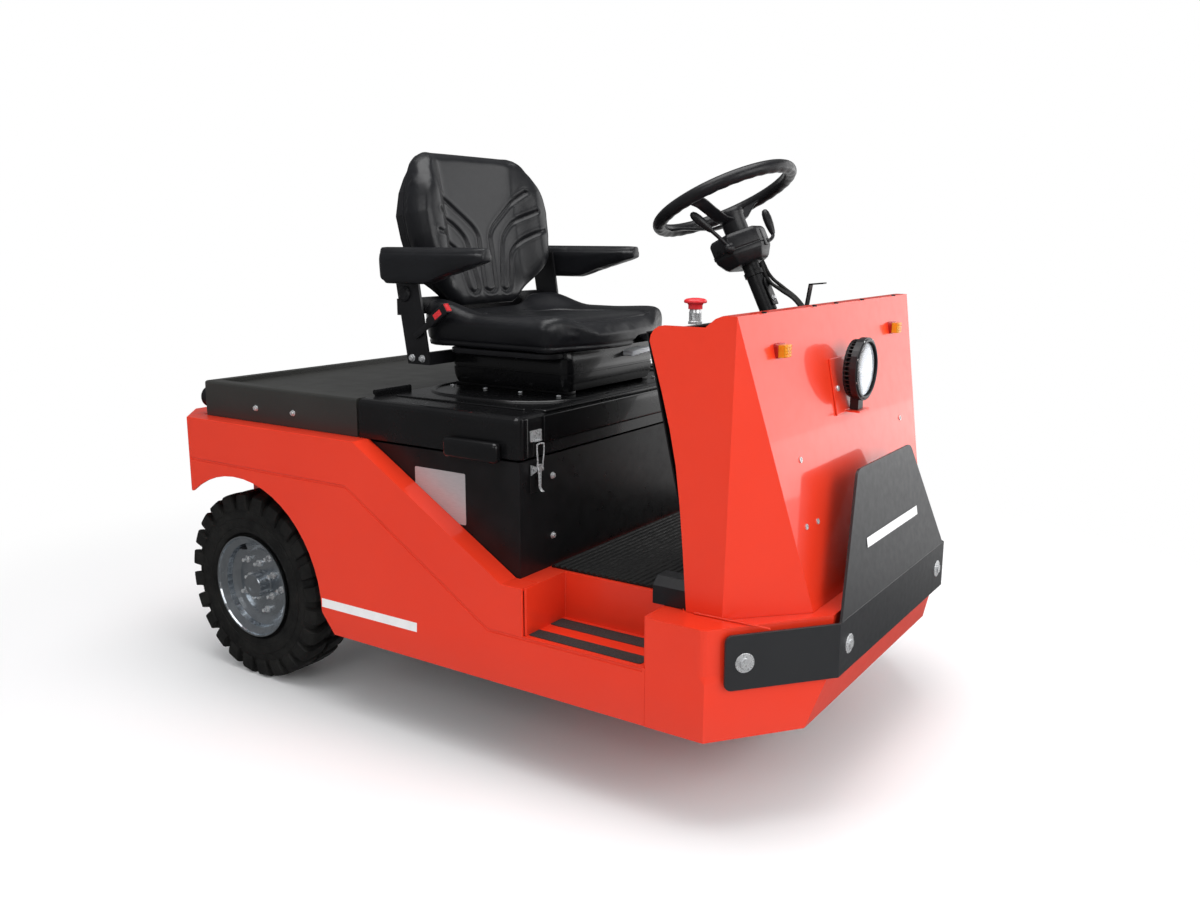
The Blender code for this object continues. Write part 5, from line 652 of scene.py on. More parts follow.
def stepFace(piece, inset, lift, least=None, drawn=True):
    # insets the faces that look up, all above a height or the topmost, and moves them, drawn out or only shifted
    openMesh(piece)
    if least is None:
        least = max(vertex.co.z for vertex in piece.data.vertices) - 0.00001
    pick(piece, "faces", lambda face: face.normal.z > 0.9 and face.calc_center_median().z > least)
    bpy.ops.mesh.inset(thickness=inset)
    if drawn:
        drawOut((0, 0, lift))
    else:
        bpy.ops.transform.translate(value=(0, 0, lift))
    closeMesh()


def makeWheelFittings(word, side):
    look = {
        "studs": 5, "circles": ((0.0, 0.041), (0.63, 0.0635)), "studRadius": 0.0042, "studLength": 0.019,
        "nutRadius": 0.0085, "nutHigh": 0.008, "discDeep": 0.034, "valveCircle": 0.078, "valveAngle": 2.2,
    }
    low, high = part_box(f"rear_rim_{word}")
    disc = (high[1] if side > 0 else low[1]) - side * look["discDeep"]
    out = Vector((0, side, 0))

    def onDisc(circle, angle, proud=0.0):
        return Vector((axleX + circle * math.cos(angle), disc + side * proud, axleZ + circle * math.sin(angle)))

    nut = addDisc(look["nutRadius"], look["nutHigh"], 6)
    stepFace(nut, 0.0022, 0.0009, drawn=False)
    roundEdges(nut, 0.0005, 1)
    stud = addDisc(look["studRadius"], look["studLength"], 16)
    roundEdges(stud, 0.0008, 2)
    places = []
    for index in range(look["studs"]):
        for shift, circle in look["circles"]:
            angle = math.tau * index / look["studs"] + 0.5 + shift
            places.append(facing(onDisc(circle, angle), out, angle))
    nuts = repeatPiece(joinPieces([nut, stud]), places)
    finishPiece(nuts, f"wheel_nuts_{word}", "bolt", f"rear_wheel_{word}", 40)
    # the hub's cap, with a turned step and a hollow middle
    profile = [
        (0, 0.0300), (0.003, 0.0300), (0.0045, 0.0286), (0.0045, 0.0262), (0.0280, 0.0258), (0.0292, 0.0246),
        (0.0292, 0.0150), (0.0285, 0.0140), (0.0230, 0.0136), (0.0230, 0),
    ]
    ring = [(axleX + radius, disc + side * proud, axleZ) for proud, radius in profile]
    cap = turnProfile(ring, (axleX, 0, axleZ), (0, 1, 0), 40)
    finishPiece(cap, f"hub_cap_{word}", "zinc", f"rear_wheel_{word}", 34)
    valve = addDisc(0.0034, 0.02, 16)
    stepFace(valve, 0.0012, 0.005)
    roundEdges(valve, 0.0004, 1)
    angle = look["valveAngle"]
    lean = out + Vector((math.cos(angle), 0, math.sin(angle))) * 0.3
    valve.data.transform(facing(onDisc(look["valveCircle"], angle, 0.004), lean))
    finishPiece(valve, f"tyre_valve_{word}", "black_plastic", f"rear_wheel_{word}")


for side, word in sides:
    makeRearTyre(word, side)
    makeWheelFittings(word, side)
print("wheels dressed")


# Padded pieces
def smoothStep(low, high, value):
    share = min(1.0, max(0.0, (value - low) / (high - low)))
    return share * share * (3 - 2 * share)


def bell(value, centre, width, power=2):
    return math.exp(-(((value - centre) / width) ** power))


def readTable(table, value):
    # straight lines between (place, size) pairs
    for (a, first), (b, second) in zip(table, table[1:]):
        if value <= b:
            return first + (second - first) * max(0.0, (value - a) / (b - a))
    return table[-1][1]


def paddedBlock(cuts, shape, look):
    # a cube of side 2, cut into a grid, and each of its points placed by the shape
    clearSelection()
    bpy.ops.mesh.primitive_cube_add(size=2, location=(0, 0, 0))
    piece = bpy.context.active_object
    openMesh(piece)
    selectAll()
    bpy.ops.mesh.subdivide(number_cuts=cuts)
    closeMesh()
    for vertex in piece.data.vertices:
        vertex.co = shape(*vertex.co)
    piece.data.update()
    puffUp(piece, look)
    return piece


def puffUp(piece, look):
    # the cover swells a little from air pressure, then its movement is capped
    takeUp(piece)
    piece.data.remesh_voxel_size = look["voxel"]
    bpy.ops.object.voxel_remesh()
    before = [vertex.co.copy() for vertex in piece.data.vertices]
    bpy.ops.object.modifier_add(type="CLOTH")
    cloth = piece.modifiers[-1]
    cloth.settings.use_pressure = True
    cloth.settings.uniform_pressure_force = look["pressure"]
    cloth.settings.effector_weights.gravity = 0
    for step in range(1, look["frames"] + 1):
        bpy.context.scene.frame_set(step)
    held = piece.evaluated_get(bpy.context.evaluated_depsgraph_get())
    swollen = [vertex.co.copy() for vertex in held.data.vertices]
    piece.modifiers.remove(cloth)
    bpy.context.scene.frame_set(1)
    for vertex, start, end in zip(piece.data.vertices, before, swollen):
        shift = end - start
        if shift.length > look["cap"]:
            shift *= look["cap"] / shift.length
        vertex.co = start + shift
    takeUp(piece)
    smooth = piece.modifiers.new("settle", "SMOOTH")
    smooth.factor = 0.5
    smooth.iterations = look["settle"]
    finer = piece.modifiers.new("finer", "SUBSURF")
    finer.levels = finer.render_levels = 1
    applyAll(piece)


def normalsOf(piece):
    return [vertex.normal.copy() for vertex in piece.data.vertices]


def nearPaths(spots, paths):
    # how far each flat point lies from the nearest of the drawn lines
    spots = numpy.array(spots)
    best = numpy.full(len(spots), 1e9)
    for path in paths:
        for first, second in zip(path, path[1:]):
            start = numpy.array(first[:2])
            run = numpy.array(second[:2]) - start
            share = numpy.clip((spots - start) @ run / (run @ run), 0, 1)
            gap = spots - start - share[:, None] * run
            best = numpy.minimum(best, numpy.hypot(gap[:, 0], gap[:, 1]))
    return best


def smoothLine(points, steps=6):
    # a Catmull-Rom curve through the points
    points = [Vector(point) for point in points]
    line = []
    for index in range(len(points) - 1):
        p0, p1 = points[max(0, index - 1)], points[index]
        p2, p3 = points[index + 1], points[min(len(points) - 1, index + 2)]
        for step in range(steps):
            t = step / steps
            square = 2 * p0 - 5 * p1 + 4 * p2 - p3
            cube = 3 * p1 - p0 - 3 * p2 + p3
            line.append((2 * p1 + (p2 - p0) * t + square * t ** 2 + cube * t ** 3) / 2)
    line.append(points[-1])
    return line


def makeBackrest():
    look = {"voxel": 0.0048, "pressure": 4, "frames": 20, "cap": 0.004, "settle": 3}
    size = {"lean": 9, "height": 0.339, "middle": 0.028, "wing": 0.066, "shrink": 0.004}
    foot = at(0.300, 0, 0.806)
    height = size["height"]
    widths = [
        (0, 0.099), (0.013, 0.124), (0.036, 0.154), (0.060, 0.190), (0.1, 0.212), (0.153, 0.2225), (0.206, 0.2255),
        (0.235, 0.219), (0.262, 0.211), (0.296, 0.195), (0.318, 0.180), (0.331, 0.164), (0.339, 0.144),
    ]

    def shape(depth, across, up):
        rise = height * (up + 1) / 2
        width = readTable(widths, rise) - size["shrink"]
        y = across * width
        reach = abs(y)
        roll = smoothStep(0.112, 0.172, reach) * smoothStep(0.0, 0.11, rise)
        roll *= 1 - 0.55 * smoothStep(0.235, 0.325, rise)
        front = size["middle"] + (size["wing"] - size["middle"]) * roll
        edge = min(1.0, (width - reach) / 0.034 + 0.24, (height - rise) / 0.030 + 0.34, rise / 0.03 + 0.42)
        front *= math.sin(math.pi / 2 * max(0.0, edge))
        return Vector(((depth + 1) / 2 * front + 0.003, y, rise * 0.992 + 0.001))

    piece = paddedBlock(47, shape, look)
    lines = [
        [(-0.020, 0.150), (-0.020, 0.052), (-0.0165, 0.036), (0, 0.030), (0.0165, 0.036), (0.020, 0.052), (0.020, 0.150)],
        [(0.020, 0.140), (0.022, 0.155), (0.038, 0.176), (0.083, 0.208), (0.118, 0.232), (0.146, 0.251)],
        [(0.165, 0.205), (0.125, 0.191), (0.095, 0.175), (0.068, 0.150), (0.058, 0.122), (0.048, 0.076), (0.041, 0.045),
         (0.046, 0.033), (0.058, 0.030), (0.069, 0.036), (0.075, 0.050), (0.082, 0.076), (0.089, 0.112), (0.115, 0.134),
         (0.148, 0.152), (0.182, 0.161)],
    ]
    paths = []
    for line in lines:
        paths.append(smoothLine(line))
        paths.append([Vector((-point.x, point.y)) for point in paths[-1]])
    normals = normalsOf(piece)
    gaps = nearPaths([(vertex.co.y, vertex.co.z) for vertex in piece.data.vertices], paths)
    for vertex, normal, near in zip(piece.data.vertices, normals, gaps):
        if normal.x > 0.25 and near < 0.03:
            vertex.co += normal * (0.0008 * bell(near, 0.0095, 0.0034) - 0.0042 * bell(near, 0, 0.0036))
        # the piping round the rear edge of the cover
        if vertex.co.x < 0.012:
            vertex.co -= normal * 0.0016 * bell(vertex.co.x, 0.008, 0.0022)
    piece.data.transform(Matrix.Translation(foot) @ Matrix.Rotation(-math.radians(size["lean"]), 4, "Y"))
    finishPiece(piece, "back_padding", "black_vinyl", "seat_and_hood", 60)
    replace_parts(piece, "backrest")


def makeCushion():
    look = {"voxel": 0.0048, "pressure": 4, "frames": 20, "cap": 0.004, "settle": 3}
    size = {"rear": 0.307, "front": 0.703, "bottom": 0.7385, "top": 0.7895, "half": 0.228}
    bottom = size["bottom"]

    def shape(along, across, up):
        run = (along + 1) / 2
        side = abs(across)
        corner = max(0.0, (abs(along) - 0.62) / 0.38)
        y = across * size["half"] * (1 - (0.30 * corner ** 2.6 if along > 0 else 0.16 * corner ** 3))
        x = size["rear"] + (size["front"] - size["rear"]) * run - (0.030 * side ** 3 * corner if along > 0 else 0)
        # rolls along both sides, higher at the rear, and a dip towards the front edge
        top = size["top"] + 0.012 * smoothStep(0.55, 0.85, side)
        top += 0.027 * smoothStep(0.42, 0.80, side) * (1 - smoothStep(0.08, 0.40, run))
        top += 0.014 * (1 - smoothStep(0.42, 0.80, side)) * (1 - smoothStep(0.0, 0.22, run))
        top += 0.004 * smoothStep(0.55, 0.85, run) - 0.012 * smoothStep(0.86, 1.0, run)
        edge = min(1.0, (1 - side) / 0.16 + 0.36, (1 - run) / 0.11 + 0.30, run / 0.07 + 0.6)
        thick = (top - bottom) * (0.45 + 0.55 * math.sin(math.pi / 2 * max(0.0, edge)))
        tuck = 1 - 0.035 * (1 - (up + 1) / 2) ** 2
        return Vector((x, y * tuck, bottom + 0.002 + (up + 1) / 2 * thick))

    piece = paddedBlock(47, shape, look)
    normals = normalsOf(piece)
    seam = smoothLine([(0.372, 0.070), (0.42, 0.128), (0.50, 0.150), (0.60, 0.152), (0.655, 0.140)])
    cross = smoothLine([(0.655, -0.140), (0.664, -0.07), (0.667, 0), (0.664, 0.07), (0.655, 0.140)])
    paths = [seam, [Vector((point.x, -point.y)) for point in seam], cross]
    for y in (-0.090, -0.054, -0.018, 0.018, 0.054, 0.090):
        paths.append(smoothLine([(0.44, y), (0.52, y * 1.06), (0.60, y * 1.12)]))
    gaps = nearPaths([(vertex.co.x, vertex.co.y) for vertex in piece.data.vertices], paths)
    for vertex, normal, near in zip(piece.data.vertices, normals, gaps):
        if normal.z > 0.3:
            vertex.co -= normal * 0.0030 * bell(near, 0, 0.0038)
        # the sewn edge low on the side
        if abs(normal.z) < 0.8:
            vertex.co -= normal * 0.0022 * bell(vertex.co.z - bottom, 0.012, 0.0025)
        # the arch over the height handle
        arch = 0.023 * bell(vertex.co.y, 0.062, 0.050, 6) * smoothStep(0.62, 0.68, vertex.co.x)
        vertex.co.z = max(vertex.co.z, bottom + 0.0006 + arch)
    piece.data.transform(Matrix.Translation((axleX, 0, 0)))
    finishPiece(piece, "cushion_padding", "black_vinyl", "seat_and_hood", 60)
    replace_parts(piece, "seat_cushion")


def makeArmrest(word):
    look = {"voxel": 0.0035, "pressure": 4, "frames": 16, "cap": 0.002, "settle": 4}
    size = {"taperFrom": 0.42, "taper": 0.66, "drop": 0.16}
    low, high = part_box(f"armrest_{word}")
    length, wide, tall = (b - a for a, b in zip(low, high))

    def shape(along, across, up):
        run = (along + 1) / 2
        share = (up + 1) / 2
        under = 0.0
        if run > size["taperFrom"]:
            straight = (run - size["taperFrom"]) / (1 - size["taperFrom"])
            under = size["taper"] * min(smoothStep(size["taperFrom"], 1.0, run) ** 0.8, straight)
        z = low[2] + tall * (under + (1 - under) * share)
        if share < 0.5:
            z += tall * size["drop"] * (1 - smoothStep(0.0, 0.07, run)) * (1 - 2 * share)
        z -= tall * size["drop"] * max(0.0, (abs(across) - 0.55) / 0.45) ** 2 * max(0.0, (share - 0.6) / 0.4)
        ends = min(1.0, 0.82 + run / 0.03, 0.66 + 0.34 * math.sin(math.pi / 2 * min(1.0, (1 - run) / 0.10)))
        softer = 0.95 - 0.17 * max(0.0, (share - 0.62) / 0.38) ** 2 - 0.05 * (1 - share) ** 2
        y = (low[1] + high[1]) / 2 + across * wide / 2 * softer * ends
        return Vector((low[0] + 0.001 + (length - 0.002) * run, y, z))

    piece = paddedBlock(31, shape, look)
    for vertex, normal in zip(piece.data.vertices, normalsOf(piece)):
        vertex.co -= normal * 0.0004 * bell(vertex.co.z, high[2] - 0.012, 0.0018)
        vertex.co.z = min(max(vertex.co.z, low[2]), high[2])
    finishPiece(piece, f"armrest_padding_{word}", "black_vinyl", f"armrest_{word}_arm", 60)
    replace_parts(piece, f"armrest_{word}")


makeBackrest()
makeCushion()
for side, word in sides:
    makeArmrest(word)
print("seat padded")


# Fixings: each kind is modelled once on +Z, then set at its places
def endsAbove(height):
    # picks the edges whose ends lie above a height, on average
    return lambda edge: edge.verts[0].co.z + edge.verts[1].co.z > 2 * height


def makeDiscBolt():
    look = {"disc": 0.0168, "thick": 0.0028, "head": 0.0082, "headHigh": 0.0042, "socket": 0.0046, "round": 0.0016}
    washer = addDisc(look["disc"], look["thick"], 40)
    roundEdges(washer, 0.0011, 3)
    head = addDisc(look["head"], look["headHigh"], 32)
    head.data.transform(Matrix.Translation((0, 0, look["thick"] - 0.0006)))
    roundEdges(head, look["round"], 3, chosen=endsAbove(0.006))
    stepFace(head, look["head"] - look["round"] - look["socket"] * 0.86, -0.0032, 0.006)
    return joinPieces([washer, head])


def makeHexScrew(size=0.0052):
    washer = addDisc(size * 1.25, size * 0.22, 24)
    roundEdges(washer, size * 0.06, 1)
    head = addDisc(size, size * 0.8, 6)
    head.data.transform(Matrix.Translation((0, 0, size * 0.16)))
    stepFace(head, size * 0.16, size * 0.1)
    roundEdges(head, size * 0.07, 1)
    return joinPieces([washer, head])


def makePanScrew(size=0.0042):
    head = addDisc(size, size * 0.5, 24)
    roundEdges(head, size * 0.32, 3, chosen=endsAbove(size * 0.45))
    stepFace(head, size * 0.28, -size * 0.2, 0)
    return head


def setPieces(screw, places, name, body="chassis", finish="bolt"):
    return finishPiece(repeatPiece(screw, places), name, finish, body, 40)


def makeFixings():
    # the cowl's sheet leans back by a fifth of its height
    cowl = {"foot": 1.143, "top": 0.844, "slope": 0.2}
    discs, hexes = [], []
    for side in (-1, 1):
        discs.append(facing(at(1.1805, side * 0.4186, 0.297), (0.772, side * 0.636, 0), 0.3))
        discs.append(facing(at(1.2888, side * 0.246, 0.2974), (1, 0, 0), 0.9))
        # small hexagon screws: two on the deck's side, two on the battery box's front
        for x in (0.031, 0.147):
            hexes.append(facing(at(x, side * 0.4253, 0.604), (0, side, 0), x * 9))
        for z in (0.528, 0.413):
            hexes.append(facing(at(0.7312, side * 0.320, z), (1, 0, 0), 0.7312 * 9))
    setPieces(makeDiscBolt(), discs, "shield_bolts")
    setPieces(makeHexScrew(), hexes, "body_screws")
    pans = []
    for side in (-1, 1):
        for y, z in ((0.253, 0.600), (0.268, 0.492), (0.221, 0.491)):
            front = cowl["foot"] + cowl["slope"] * (cowl["top"] - z) + 0.0002
            pans.append(facing(at(front, side * y, z), (1, 0, cowl["slope"]), z * 20))
    setPieces(makePanScrew(0.005), pans, "cowl_screws")
    lips = [facing(at(1.1445, y, 0.8446), (0.1, 0, 1), y * 9) for y in (-0.312, -0.106, -0.005, 0.128, 0.312)]
    setPieces(makePanScrew(), lips, "lip_screws", finish="black_steel")


makeFixings()
print("fixings set")


# Lamps
def turnedRound(middle, steps):
    # a function that turns (x, radius) pairs round the line along X through a point
    def turned(profile):
        points = [Vector((x, middle.y, middle.z + radius)) for x, radius in profile]
        return turnProfile(points, middle, (1, 0, 0), steps)

    return turned


def makeHeadlight():
    look = {"screws": 8, "fins": 40, "screwOut": 0.0042, "finThick": 0.0011}
    low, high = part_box("headlight_lens")
    ringLow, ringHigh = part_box("headlight")
    middle = middleOf(low, high)
    radius = (high[1] - low[1]) / 2
    face = ringHigh[0]
    turned = turnedRound(middle, 64)
    back = low[0] - 0.0004
    lens = turned([
        (low[0] + 0.0002, 0), (low[0] + 0.0002, radius - 0.0008), (high[0] - 0.0004, radius - 0.0008),
        (high[0] + 0.0006, radius - 0.004), (high[0] + 0.0016, radius * 0.6), (high[0] + 0.002, 0),
    ])
    finishPiece(lens, "headlight_glass", "clear_lens", "chassis", 50)
    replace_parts(lens, "headlight_lens")
    dish = turned([(back, 0), (back, radius - 0.001), (back - 0.0003, radius - 0.001), (back - 0.0003, 0)])
    finishPiece(dish, "headlight_reflector", "reflector", "chassis", 30)
    bezel = turned([
        (face + 0.0002, radius - 0.0005), (face + 0.0018, radius + 0.0005), (face + 0.0024, radius + 0.002),
        (face + 0.0018, radius + 0.0044), (face - 0.003, radius + 0.0076), (face - 0.006, radius + 0.0079),
        (face - 0.006, radius + 0.0074), (face + 0.0002, radius + 0.0064),
    ])
    finishPiece(bezel, "headlight_bezel", "black_plastic", "chassis", 36)
    spots = []
    circle = radius + look["screwOut"]
    for index in range(look["screws"]):
        angle = math.tau * (index + 0.5) / look["screws"]
        spot = (face + 0.0008, middle.y + circle * math.cos(angle), middle.z + circle * math.sin(angle))
        spots.append(facing(spot, (1, 0, 0), angle))
    setPieces(makePanScrew(0.0022), spots, "bezel_screws")
    # cooling fins round the back, left out where the bracket holds the lamp
    fins = []
    for index in range(look["fins"]):
        angle = math.tau * index / look["fins"]
        if abs(math.sin(angle) + 1) >= 0.12:
            fins.append(Matrix.Translation(middle) @ Matrix.Rotation(angle, 4, "X"))
    depth = ringHigh[0] - ringLow[0]
    thick = look["finThick"]
    fin = softBlock((-depth * 0.9, -thick, radius * 0.84), (-depth * 0.3, thick, radius * 1.09), 0.0004, 1)
    fin.data.transform(Matrix.Translation((face - middle.x, 0, 0)))
    finishPiece(repeatPiece(fin, fins), "headlight_fins", "black_plastic", "chassis", 30)
    setPieces(makeHexScrew(0.0055), [facing(at(1.1745, -0.062, 0.696), (1, 0, 0.2), 0.3)], "headlight_bolt")


def makeAmberLamp(word):
    name = f"amber_lamp_{word}"
    low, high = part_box(name)
    deep, wide = high[0] - low[0], high[1] - low[1]
    base = softBlock(low, (low[0] + deep * 0.38, high[1], high[2]), 0.0045, 4, chosen=edgeAlong(0, 0.002))
    roundEdges(base, 0.0012, 2, chosen=lambda edge: min(v.co.x for v in edge.verts) > low[0] + 0.004)
    finishPiece(base, f"amber_base_{word}", "red_lens", "chassis", 40)
    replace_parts(base, name)
    lens = addBlock(
        (low[0] + deep * 0.36, low[1] + 0.002, low[2] + 0.0018), (high[0], high[1] - 0.002, high[2] - 0.0018)
    )
    # pressed squares on the front, and a front that curves back to both ends
    openMesh(lens)
    selectAll()
    bpy.ops.mesh.subdivide(number_cuts=3)
    pick(lens, "faces", lambda face: face.normal.x > 0.9)
    bpy.ops.mesh.inset(thickness=0.0014, use_individual=True)
    bpy.ops.transform.translate(value=(0.0011, 0, 0))
    closeMesh()
    for vertex in lens.data.vertices:
        reach = (vertex.co.y - (low[1] + high[1]) / 2) / (wide / 2)
        if vertex.co.x > high[0] - 0.003:
            vertex.co.x -= 0.0045 * reach ** 4 + 0.0012
    finishPiece(lens, f"amber_glass_{word}", "amber_lens", "chassis", 20)


def makeTailLamp(word):
    name = f"tail_lamp_{word}"
    low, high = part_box(name)
    radius = (high[1] - low[1]) / 2
    deep = high[0] - low[0]
    middle = middleOf(low, high)
    middle.x = low[0]
    turned = turnedRound(middle, 48)

    def scaled(profile):
        return turned([(low[0] + deep * x, radius * r) for x, r in profile])

    body = scaled([
        (1, 0), (1, 0.92), (0.35, 0.94), (0.3, 1), (0.1, 1), (0.02, 0.95), (0.04, 0.86), (0.3, 0.82), (0.3, 0),
    ])
    finishPiece(body, f"tail_lamp_body_{word}", "black_plastic", "chassis", 36)
    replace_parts(body, name)
    mirror = scaled([(0.27, 0), (0.27, 0.8), (0.25, 0.8), (0.26, 0)])
    finishPiece(mirror, f"tail_lamp_mirror_{word}", "reflector", "chassis", 36)
    lens = scaled([(0.2, 0), (0.2, 0.81), (0.06, 0.81), (0.015, 0.6), (0.005, 0.3), (0.002, 0)])
    finishPiece(lens, f"tail_lamp_glass_{word}", "clear_lens", "chassis", 50)


makeHeadlight()
for side, word in sides:
    makeAmberLamp(word)
    makeTailLamp(word)
print("lamps made")


# Steering: everything is modelled on the column's own axis, with the wheel's middle at the origin
columnLean = math.radians(25.9)
steerOut = Matrix.Translation(at(0.908, 0, 1.033)) @ Matrix.Rotation(-columnLean, 4, "Y")


def makeSpoke(angle):
    # a dished spoke, wide at the rim, with a pressed channel along its middle: (reach, half width, height)
    outline = [
        (0.012, 0.0150, -0.046), (0.040, 0.0140, -0.041), (0.075, 0.0122, -0.024), (0.100, 0.0118, -0.011),
        (0.122, 0.0145, -0.004), (0.130, 0.0180, -0.003),
    ]
    spoke = drawChain([(x, -half, z) for x, half, z in outline])
    selectAll()
    drawOut((0, 0.0001, 0))
    closeMesh()
    count = len(outline)
    for vertex in list(spoke.data.vertices)[count:]:
        vertex.co.y = outline[vertex.index % count][1]
    openMesh(spoke)
    selectAll()
    bpy.ops.mesh.normals_make_consistent(inside=False)
    bpy.ops.mesh.subdivide(number_cuts=2)
    closeMesh()
    for vertex in spoke.data.vertices:
        if abs(vertex.co.y) < 0.006 and 0.02 < vertex.co.x < 0.118:
            vertex.co.z -= 0.0022
    solid = spoke.modifiers.new("thick", "SOLIDIFY")
    solid.thickness = 0.0046
    solid.offset = 0
    soft = spoke.modifiers.new("soft", "BEVEL")
    soft.width = 0.001
    soft.segments = 2
    finer = spoke.modifiers.new("finer", "SUBSURF")
    finer.levels = finer.render_levels = 1
    applyAll(spoke)
    spoke.data.transform(Matrix.Rotation(angle, 4, "Z"))
    return spoke


def makeSteeringWheel():
    look = {"radius": 0.1335, "grip": 0.0125, "waves": 32, "wave": 0.0011}
    clearSelection()
    bpy.ops.mesh.primitive_torus_add(
        major_radius=look["radius"], minor_radius=look["grip"], major_segments=112, minor_segments=22
    )
    rim = bpy.context.active_object
    for vertex in rim.data.vertices:
        # finger waves under the grip
        angle = math.atan2(vertex.co.y, vertex.co.x)
        if vertex.co.z < 0:
            wave = 0.5 + 0.5 * math.cos(angle * look["waves"])
            vertex.co.z += look["wave"] * wave * (-vertex.co.z / look["grip"])
    spokes = [makeSpoke(math.radians(turn)) for turn in (90, -90, 180)]
    hub = turnUpright([
        (0, -0.072), (0.0225, -0.072), (0.0232, -0.070), (0.0232, -0.040), (0.0250, -0.037), (0.0260, -0.033),
        (0.0255, -0.029), (0.0240, -0.0265), (0.0180, -0.0245), (0.0100, -0.0235), (0, -0.0232),
    ], 48)
    wheel = joinPieces([rim, *spokes, hub])
    wheel.data.transform(steerOut)
    finishPiece(wheel, "steering_wheel_moulded", "black_plastic", "hand_wheel", 40)
    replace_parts(wheel, "steering_wheel")


def makeSwitchHousing():
    top = -0.0735
    # two mouldings that meet on a seam, widest at their middle, with big chamfers
    half = [(-0.048, -0.036), (-0.040, -0.053), (0.002, -0.060), (0.046, -0.021)]
    ring = half[1:] + [(x, -y) for x, y in half[::-1]] + half[:1]
    shell = stackLevels(ring, [
        (0.0, 0.88), (-0.0025, 0.94), (-0.008, 1.0), (-0.031, 1.0), (-0.0315, 0.988), (-0.0325, 0.988),
        (-0.033, 1.0), (-0.041, 0.98), (-0.057, 0.80), (-0.062, 0.70),
    ], top)
    roundEdges(shell, 0.0022, 3, 18)
    # the raised strip down the front
    strip = addBlock((0.0360, -0.0055, top - 0.042), (0.0476, 0.0055, top - 0.009))
    for vertex in strip.data.vertices:
        if vertex.co.z > top - 0.02:
            vertex.co.x -= 0.001
    roundEdges(strip, 0.0012, 2)
    collar = turnUpright([
        (0, top + 0.0008), (0.030, top + 0.0008), (0.0315, top - 0.001), (0.0315, top - 0.006), (0, top - 0.006),
    ], 40)
    housing = joinPieces([shell, strip, collar])
    housing.data.transform(steerOut)
    finishPiece(housing, "switch_housing_moulded", "black_plastic", "chassis", 30)
    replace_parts(housing, "switch_housing")
    spots = [((0.0460, 0.013, top - 0.034), (1, 0, 0)), ((-0.026, -0.0560, top - 0.026), (-0.16, -1, 0))]
    places = [steerOut @ facing(spot, normal, 0.4) for spot, normal in spots]
    setPieces(makePanScrew(), places, "housing_screws", finish="black_steel")
    # gaiter and lever on the right, short stalk on the left
    gaiter = turnUpright([
        (0, 0), (0.011, 0), (0.0105, 0.004), (0.0088, 0.006), (0.0088, 0.008), (0.0078, 0.010), (0.006, 0.013),
        (0.0042, 0.015), (0, 0.016),
    ], 24)
    gaiter.data.transform(facing((0, -0.058, top - 0.028), (-0.1, -1, 0.1)))
    knob = turnUpright([
        (0, 0), (0.0044, 0), (0.0062, 0.006), (0.0082, 0.020), (0.0086, 0.034), (0.0074, 0.044), (0.0046, 0.050),
        (0, 0.052),
    ], 28)
    second = copyPiece(knob)
    knob.data.transform(facing((-0.0085, -0.085, -0.0615), (-0.022, -0.052, 0.076)))
    second.data.transform(facing((0.031, 0.084, -0.0860), (0.02, 0.02, 1)))
    levers = joinPieces([
        gaiter, knob, second,
        tube(
            [(0.002, -0.058, -0.1000), (-0.001, -0.066, -0.0900), (-0.005, -0.076, -0.0745), (-0.009, -0.086, -0.0600)],
            0.0038,
        ),
        tube([(0.018, 0.054, -0.101), (0.024, 0.070, -0.097), (0.030, 0.082, -0.090), (0.031, 0.084, -0.082)], 0.0036),
    ])
    levers.data.transform(steerOut)
    finishPiece(levers, "column_levers", "black_plastic", "chassis", 50)


def makeColumn():
    foot, top, radius, plateFace = -0.232, -0.1355, 0.0165, 0.0168
    ring = radius + 0.0025
    column = turnUpright([
        (0, foot), (radius, foot), (radius, -0.160), (ring, -0.159), (ring, -0.150), (radius, -0.149), (radius, top),
        (0, top),
    ], 40)
    column.data.transform(steerOut)
    finishPiece(column, "steering_column_tube", "black_steel", "chassis", 40)
    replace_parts(column, "steering_column")
    outline = [(-0.011, -0.225), (0.011, -0.225), (0.011, -0.178), (0.005, -0.170), (-0.005, -0.170), (-0.011, -0.178)]
    plate = drawPlate([(plateFace, y, z) for y, z in outline], (0.0028, 0, 0))
    roundEdges(plate, 0.0006, 1)
    plate.data.transform(steerOut)
    finishPiece(plate, "column_plate", "black_steel", "chassis", 30)
    setPieces(makeHexScrew(0.0048), [steerOut @ facing((0.0198, -0.002, -0.213), (1, 0, 0), 0.2)], "column_bolt")


def makeCables():
    low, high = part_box("column_cable")
    start = steerOut @ Vector((0.018, 0.012, -0.138))
    foot = Vector((high[0] - 0.006, (low[1] + high[1]) / 2, low[2] + 0.001))
    run = foot - start
    strands = []
    for shift, drop in ((-0.0045, 0.016), (0.0045, 0.012), (0.0, 0.020)):
        across = Vector((0, shift, shift * 0.4))
        points = [start + across]
        for share, sag in ((0.2, -0.9), (0.5, -0.4), (0.8, 0.25)):
            points.append(start + run * share + across + Vector((0, 0, drop * sag)))
        points.append(foot + across + Vector((0.002, 0, 0)))
        strands.append(tube(points, 0.0033))
    bundle = joinPieces(strands)
    finishPiece(bundle, "cable_bundle", "rubber", "chassis", 60)
    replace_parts(bundle, "column_cable")


